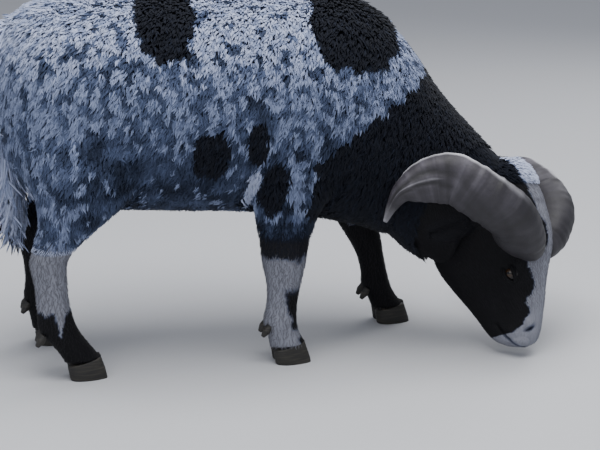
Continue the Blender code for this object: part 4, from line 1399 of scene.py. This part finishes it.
def horn_material():
    """Keratin grown in rings: grey brown, a painted highlight along its outer rim, a paler tip, painted
    shade in its grooves, on its under side and at its base, dull.
    """
    material, tree, shader = new_material("grown_horn_keratin")
    rim, hollow, ridge, growth = (mesh_value(tree, word) for word in ("rim", "hollow", "ridge", "growth"))
    where = object_place(tree)
    blotches, fibres = grain(tree, where, 26.0, 5.0), grain(tree, where, 280.0, 4.0)
    along = {"W": growth, "Scale": 16.0, "Detail": 5.0}
    bands = add_node(tree, "TexNoise", along, noise_dimensions="1D").outputs["Fac"]
    base = coloured(tree, mix_colours(tree, 0.55, blotches, bands), HORN_STOPS)
    # A painted highlight on the rim, broken by blotches: the base colour mixed towards pale grey.
    rim_highlight = ranged(tree, worked(tree, "MULTIPLY", rim, blotches), 0.0, 1.0, 0.08, 0.55)
    pale = mix_colours(tree, rim_highlight, base, linear("#B9B8BE"))
    # Painted shade: the grooves, the under side and the base mixed towards near black.
    with_painted_shade = mix_colours(tree, worked(tree, "MULTIPLY", hollow, 0.84), pale, linear("#1B1A1E"))
    ringed, speck = ranged(tree, ridge, 0.72, 1.24), ranged(tree, fibres, 0.75, 1.25)
    colour = shaded(tree, with_painted_shade, worked(tree, "MULTIPLY", ringed, speck))
    finish_shader(tree, shader, colour, {}, (fibres, 0.4, 0.0010))
    tree.links.new(ranged(tree, fibres, 0.48, 0.74), shader.inputs["Roughness"])
    return material


def mix_colours(tree, share, first, second):
    """The first colour, with a share of the second mixed in."""
    return add_node(tree, "Mix", {0: share, 6: first, 7: second}, data_type="RGBA").outputs[2]


def distance(tree, across, up):
    """How far two numbers lie from nought together."""
    flat = add_node(tree, "CombineXYZ", {"X": across, "Y": up}).outputs["Vector"]
    return add_node(tree, "VectorMath", {0: flat}, operation="LENGTH").outputs["Value"]


def claw_material():
    """Hoof keratin: near black with paler layers, dull with fine rings."""
    material, tree, shader = new_material("grown_hoof_keratin")
    layers = grain(tree, object_place(tree, (30.0, 30.0, 420.0)), 1.0, 3.0)
    colour = coloured(tree, layers, HOOF_STOPS)
    finish_shader(tree, shader, colour, {"Roughness": 0.58}, (layers, 0.35, 0.0008))
    return material


def eye_material(name, centre):
    """A wet eye: a level slot of a pupil in a dark amber iris, browner towards its rim."""
    material, tree, shader = new_material(name)
    where = {"Vector": add_node(tree, "TexCoord").outputs["Object"], "Location": centre}
    where["Rotation"] = HEAD_AXES.to_euler()
    turned = add_node(tree, "Mapping", where, vector_type="TEXTURE").outputs["Vector"]
    axes = add_node(tree, "SeparateXYZ", {"Vector": turned})
    wide, tall = axes.outputs["X"], axes.outputs["Z"]
    slot = [worked(tree, "DIVIDE", axis, half) for axis, half in ((wide, 0.0052), (tall, 0.0021))]
    pupil = ranged(tree, distance(tree, *slot), 0.0, 1.0, 0.85, 1.1)
    iris = coloured(tree, ranged(tree, distance(tree, wide, tall), 0.0, 1.0, 0.0, 0.012), IRIS_STOPS)
    colour = mix_colours(tree, pupil, linear("#040305"), iris)
    constants = {"Roughness": 0.10, "Specular IOR Level": 0.25, "Coat Weight": 0.35, "Coat Roughness": 0.02}
    finish_shader(tree, shader, colour, constants)
    return material


def floor_material():
    """Matt studio floor: pale grey paint."""
    material, _, shader = new_material("matt_floor_paint")
    shader.inputs["Base Color"].default_value = linear("#C9CACD")
    shader.inputs["Roughness"].default_value = 0.9
    return material


# Colours of the coat from white to black, by its marking value.
WOOL_STOPS = ((0.0, "#B9C1DA"), (0.22, "#8D99B8"), (0.50, "#4F5B78"), (0.78, "#222A3C"), (1.0, "#12151E"))
# White hair darkened by painted shade: the pale end is a dull grey, as on the shaded muzzle and legs.
HAIR_STOPS = ((0.0, "#75767F"), (0.35, "#626470"), (0.70, "#202129"), (1.0, "#121116"))
SKIN_STOPS = ((0.0, "#8B8D97"), (0.35, "#5E6476"), (0.70, "#1C2030"), (1.0, "#08080C"))

# Colours of horn, hoof and iris.
HORN_STOPS = ((0.34, "#1C1A1E"), (0.50, "#353239"), (0.66, "#55525A"))
HOOF_STOPS = ((0.3, "#151416"), (0.55, "#26241F"), (0.8, "#4A453E"))
IRIS_STOPS = ((0.0, "#3A2814"), (0.62, "#291B0E"), (0.80, "#130D09"), (1.0, "#0A0807"))


def set_material(piece, material):
    """Give a piece one material."""
    piece.data.materials.clear()
    piece.data.materials.append(material)


def finish_piece(piece):
    """Let a piece ride on the ram."""
    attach(piece, "root")


def shift_of_model():
    """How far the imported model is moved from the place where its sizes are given."""
    low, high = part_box("eye_right")
    middle = (low + high) / 2
    moved = middle - head_point(EYE_FRONT, EYE_HEIGHT, EYE_OUT, -1)
    return Vector((moved.x, moved.y, 0.0))


def dress_skin(skin):
    """Give the skin its markings as a value on each vertex."""
    values = [darkness(form_at(vertex.co), vertex.co) for vertex in skin.data.vertices]
    add_values(skin.data, "dark", np.array(values))
    set_material(skin, skin_material())


def dress_horn(horn):
    """Mark the horn's ridges, from how far each vertex stands out from its neighbours."""
    mesh = horn.data
    places, normals = read(mesh.vertices, "co", 3), read(mesh.vertices, "normal", 3)
    ends = read(mesh.edges, "vertices", 2, int)
    total, degree = np.zeros_like(places), np.zeros(len(places))
    for here, there in (ends.T, ends.T[::-1]):
        np.add.at(total, here, places[there])
        np.add.at(degree, here, 1)
    stands = ((places - total / degree[:, None]) * normals).sum(axis=1)
    add_values(mesh, "ridge", np.clip(0.5 + stands / RIDGE_DEPTH, 0.0, 1.0))


def make_studio():
    """Pale floor, soft lights and the camera's surroundings."""
    bm = bmesh.new()
    bmesh.ops.create_grid(bm, x_segments=1, y_segments=1, size=30.0)
    floor = new_object("studio_floor", bm)
    set_material(floor, floor_material())
    world = bpy.data.worlds.new("studio")
    world.use_nodes = True
    sky = world.node_tree.nodes["Background"]
    sky.inputs["Color"].default_value = linear("#DDE2EE")
    sky.inputs["Strength"].default_value = 0.55
    bpy.context.scene.world = world
    for name, values in LIGHTS.items():
        add_light(name, *values)


def add_light(name, place, target, size, power):
    """A square soft light."""
    light = bpy.data.lights.new(name, "AREA")
    light.size = size
    light.energy = power
    made = bpy.data.objects.new(name, light)
    made.location = place
    made.rotation_euler = (Vector(target) - Vector(place)).to_track_quat("-Z", "Y").to_euler()
    bpy.context.scene.collection.objects.link(made)


def make_camera(shift):
    """The camera at the viewing angle of the picture."""
    turn, pitch = CAMERA_TURN, CAMERA_PITCH
    back = Vector((math.sin(turn) * math.cos(pitch), -math.cos(turn) * math.cos(pitch), math.sin(pitch)))
    right = Vector((math.cos(turn), math.sin(turn), 0.0))
    lens = bpy.data.cameras.new("camera")
    lens.lens = CAMERA_LENS
    camera = bpy.data.objects.new("camera", lens)
    place = CAMERA_TARGET + shift + back * CAMERA_DISTANCE
    facing = Matrix((right, back.cross(right), back)).transposed()
    camera.matrix_world = Matrix.Translation(place) @ facing.to_4x4()
    bpy.context.scene.collection.objects.link(camera)
    bpy.context.scene.camera = camera


def main():
    """Dress the whole ram."""
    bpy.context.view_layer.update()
    shift = shift_of_model()
    luck = np.random.default_rng(SEED)
    make_camera(shift)
    skin = make_skin()
    dress_skin(skin)
    finished = [(skin, "speckled_fleece")]
    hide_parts(*[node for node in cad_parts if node.split("_")[0] in FLESH])
    # Wool roots are painted lighter, as painted light among the locks; hair roots are painted darker, as
    # painted shade.
    wool = coat_material("crimped_wool", WOOL_STOPS, 0.95, 0.06, 1.45)
    hair = coat_material("short_flat_hair", HAIR_STOPS, 0.66, 0.03, 0.75)
    for piece, kind in make_coat(skin, luck):
        woolly = LOCKS[kind].staple > 0.0
        set_material(piece, wool if woolly else hair)
        finished.append((piece, "speckled_fleece" if woolly else "black_hair"))
    keratin, hoof = horn_material(), claw_material()
    for side, word in ((-1, "right"), (1, "left")):
        horn = make_horn("ringed_horn_" + word, side)
        dress_horn(horn)
        set_material(horn, keratin)
        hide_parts("horn_" + word)
        finished.append((horn, "ringed_horn"))
        centre = head_point(EYE_FRONT, EYE_HEIGHT, EYE_OUT, side)
        eye = ball("wet_eye_" + word, centre, (EYE_RADIUS,) * 3, 64, 40)
        set_material(eye, eye_material("wet_eye_" + word, centre + shift))
        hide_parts("eye_" + word)
        finished.append((eye, "dark_eye"))
    for claw, node in make_claws():
        set_material(claw, hoof)
        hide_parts(node)
        finished.append((claw, "claw_horn"))
    for name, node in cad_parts.items():
        if name.startswith("dewclaw"):
            set_material(node, hoof)
    for piece, slot in finished:
        piece.data.transform(Matrix.Translation(shift))
        finish_piece(piece)
    make_studio()


FLESH = ("torso", "neck", "head", "tail", "leg", "ear")

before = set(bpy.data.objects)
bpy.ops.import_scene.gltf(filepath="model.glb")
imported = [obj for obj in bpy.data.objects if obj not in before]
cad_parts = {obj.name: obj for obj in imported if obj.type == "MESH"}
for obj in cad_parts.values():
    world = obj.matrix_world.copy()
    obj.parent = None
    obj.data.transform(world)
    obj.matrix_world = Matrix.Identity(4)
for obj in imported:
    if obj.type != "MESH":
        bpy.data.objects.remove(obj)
main()
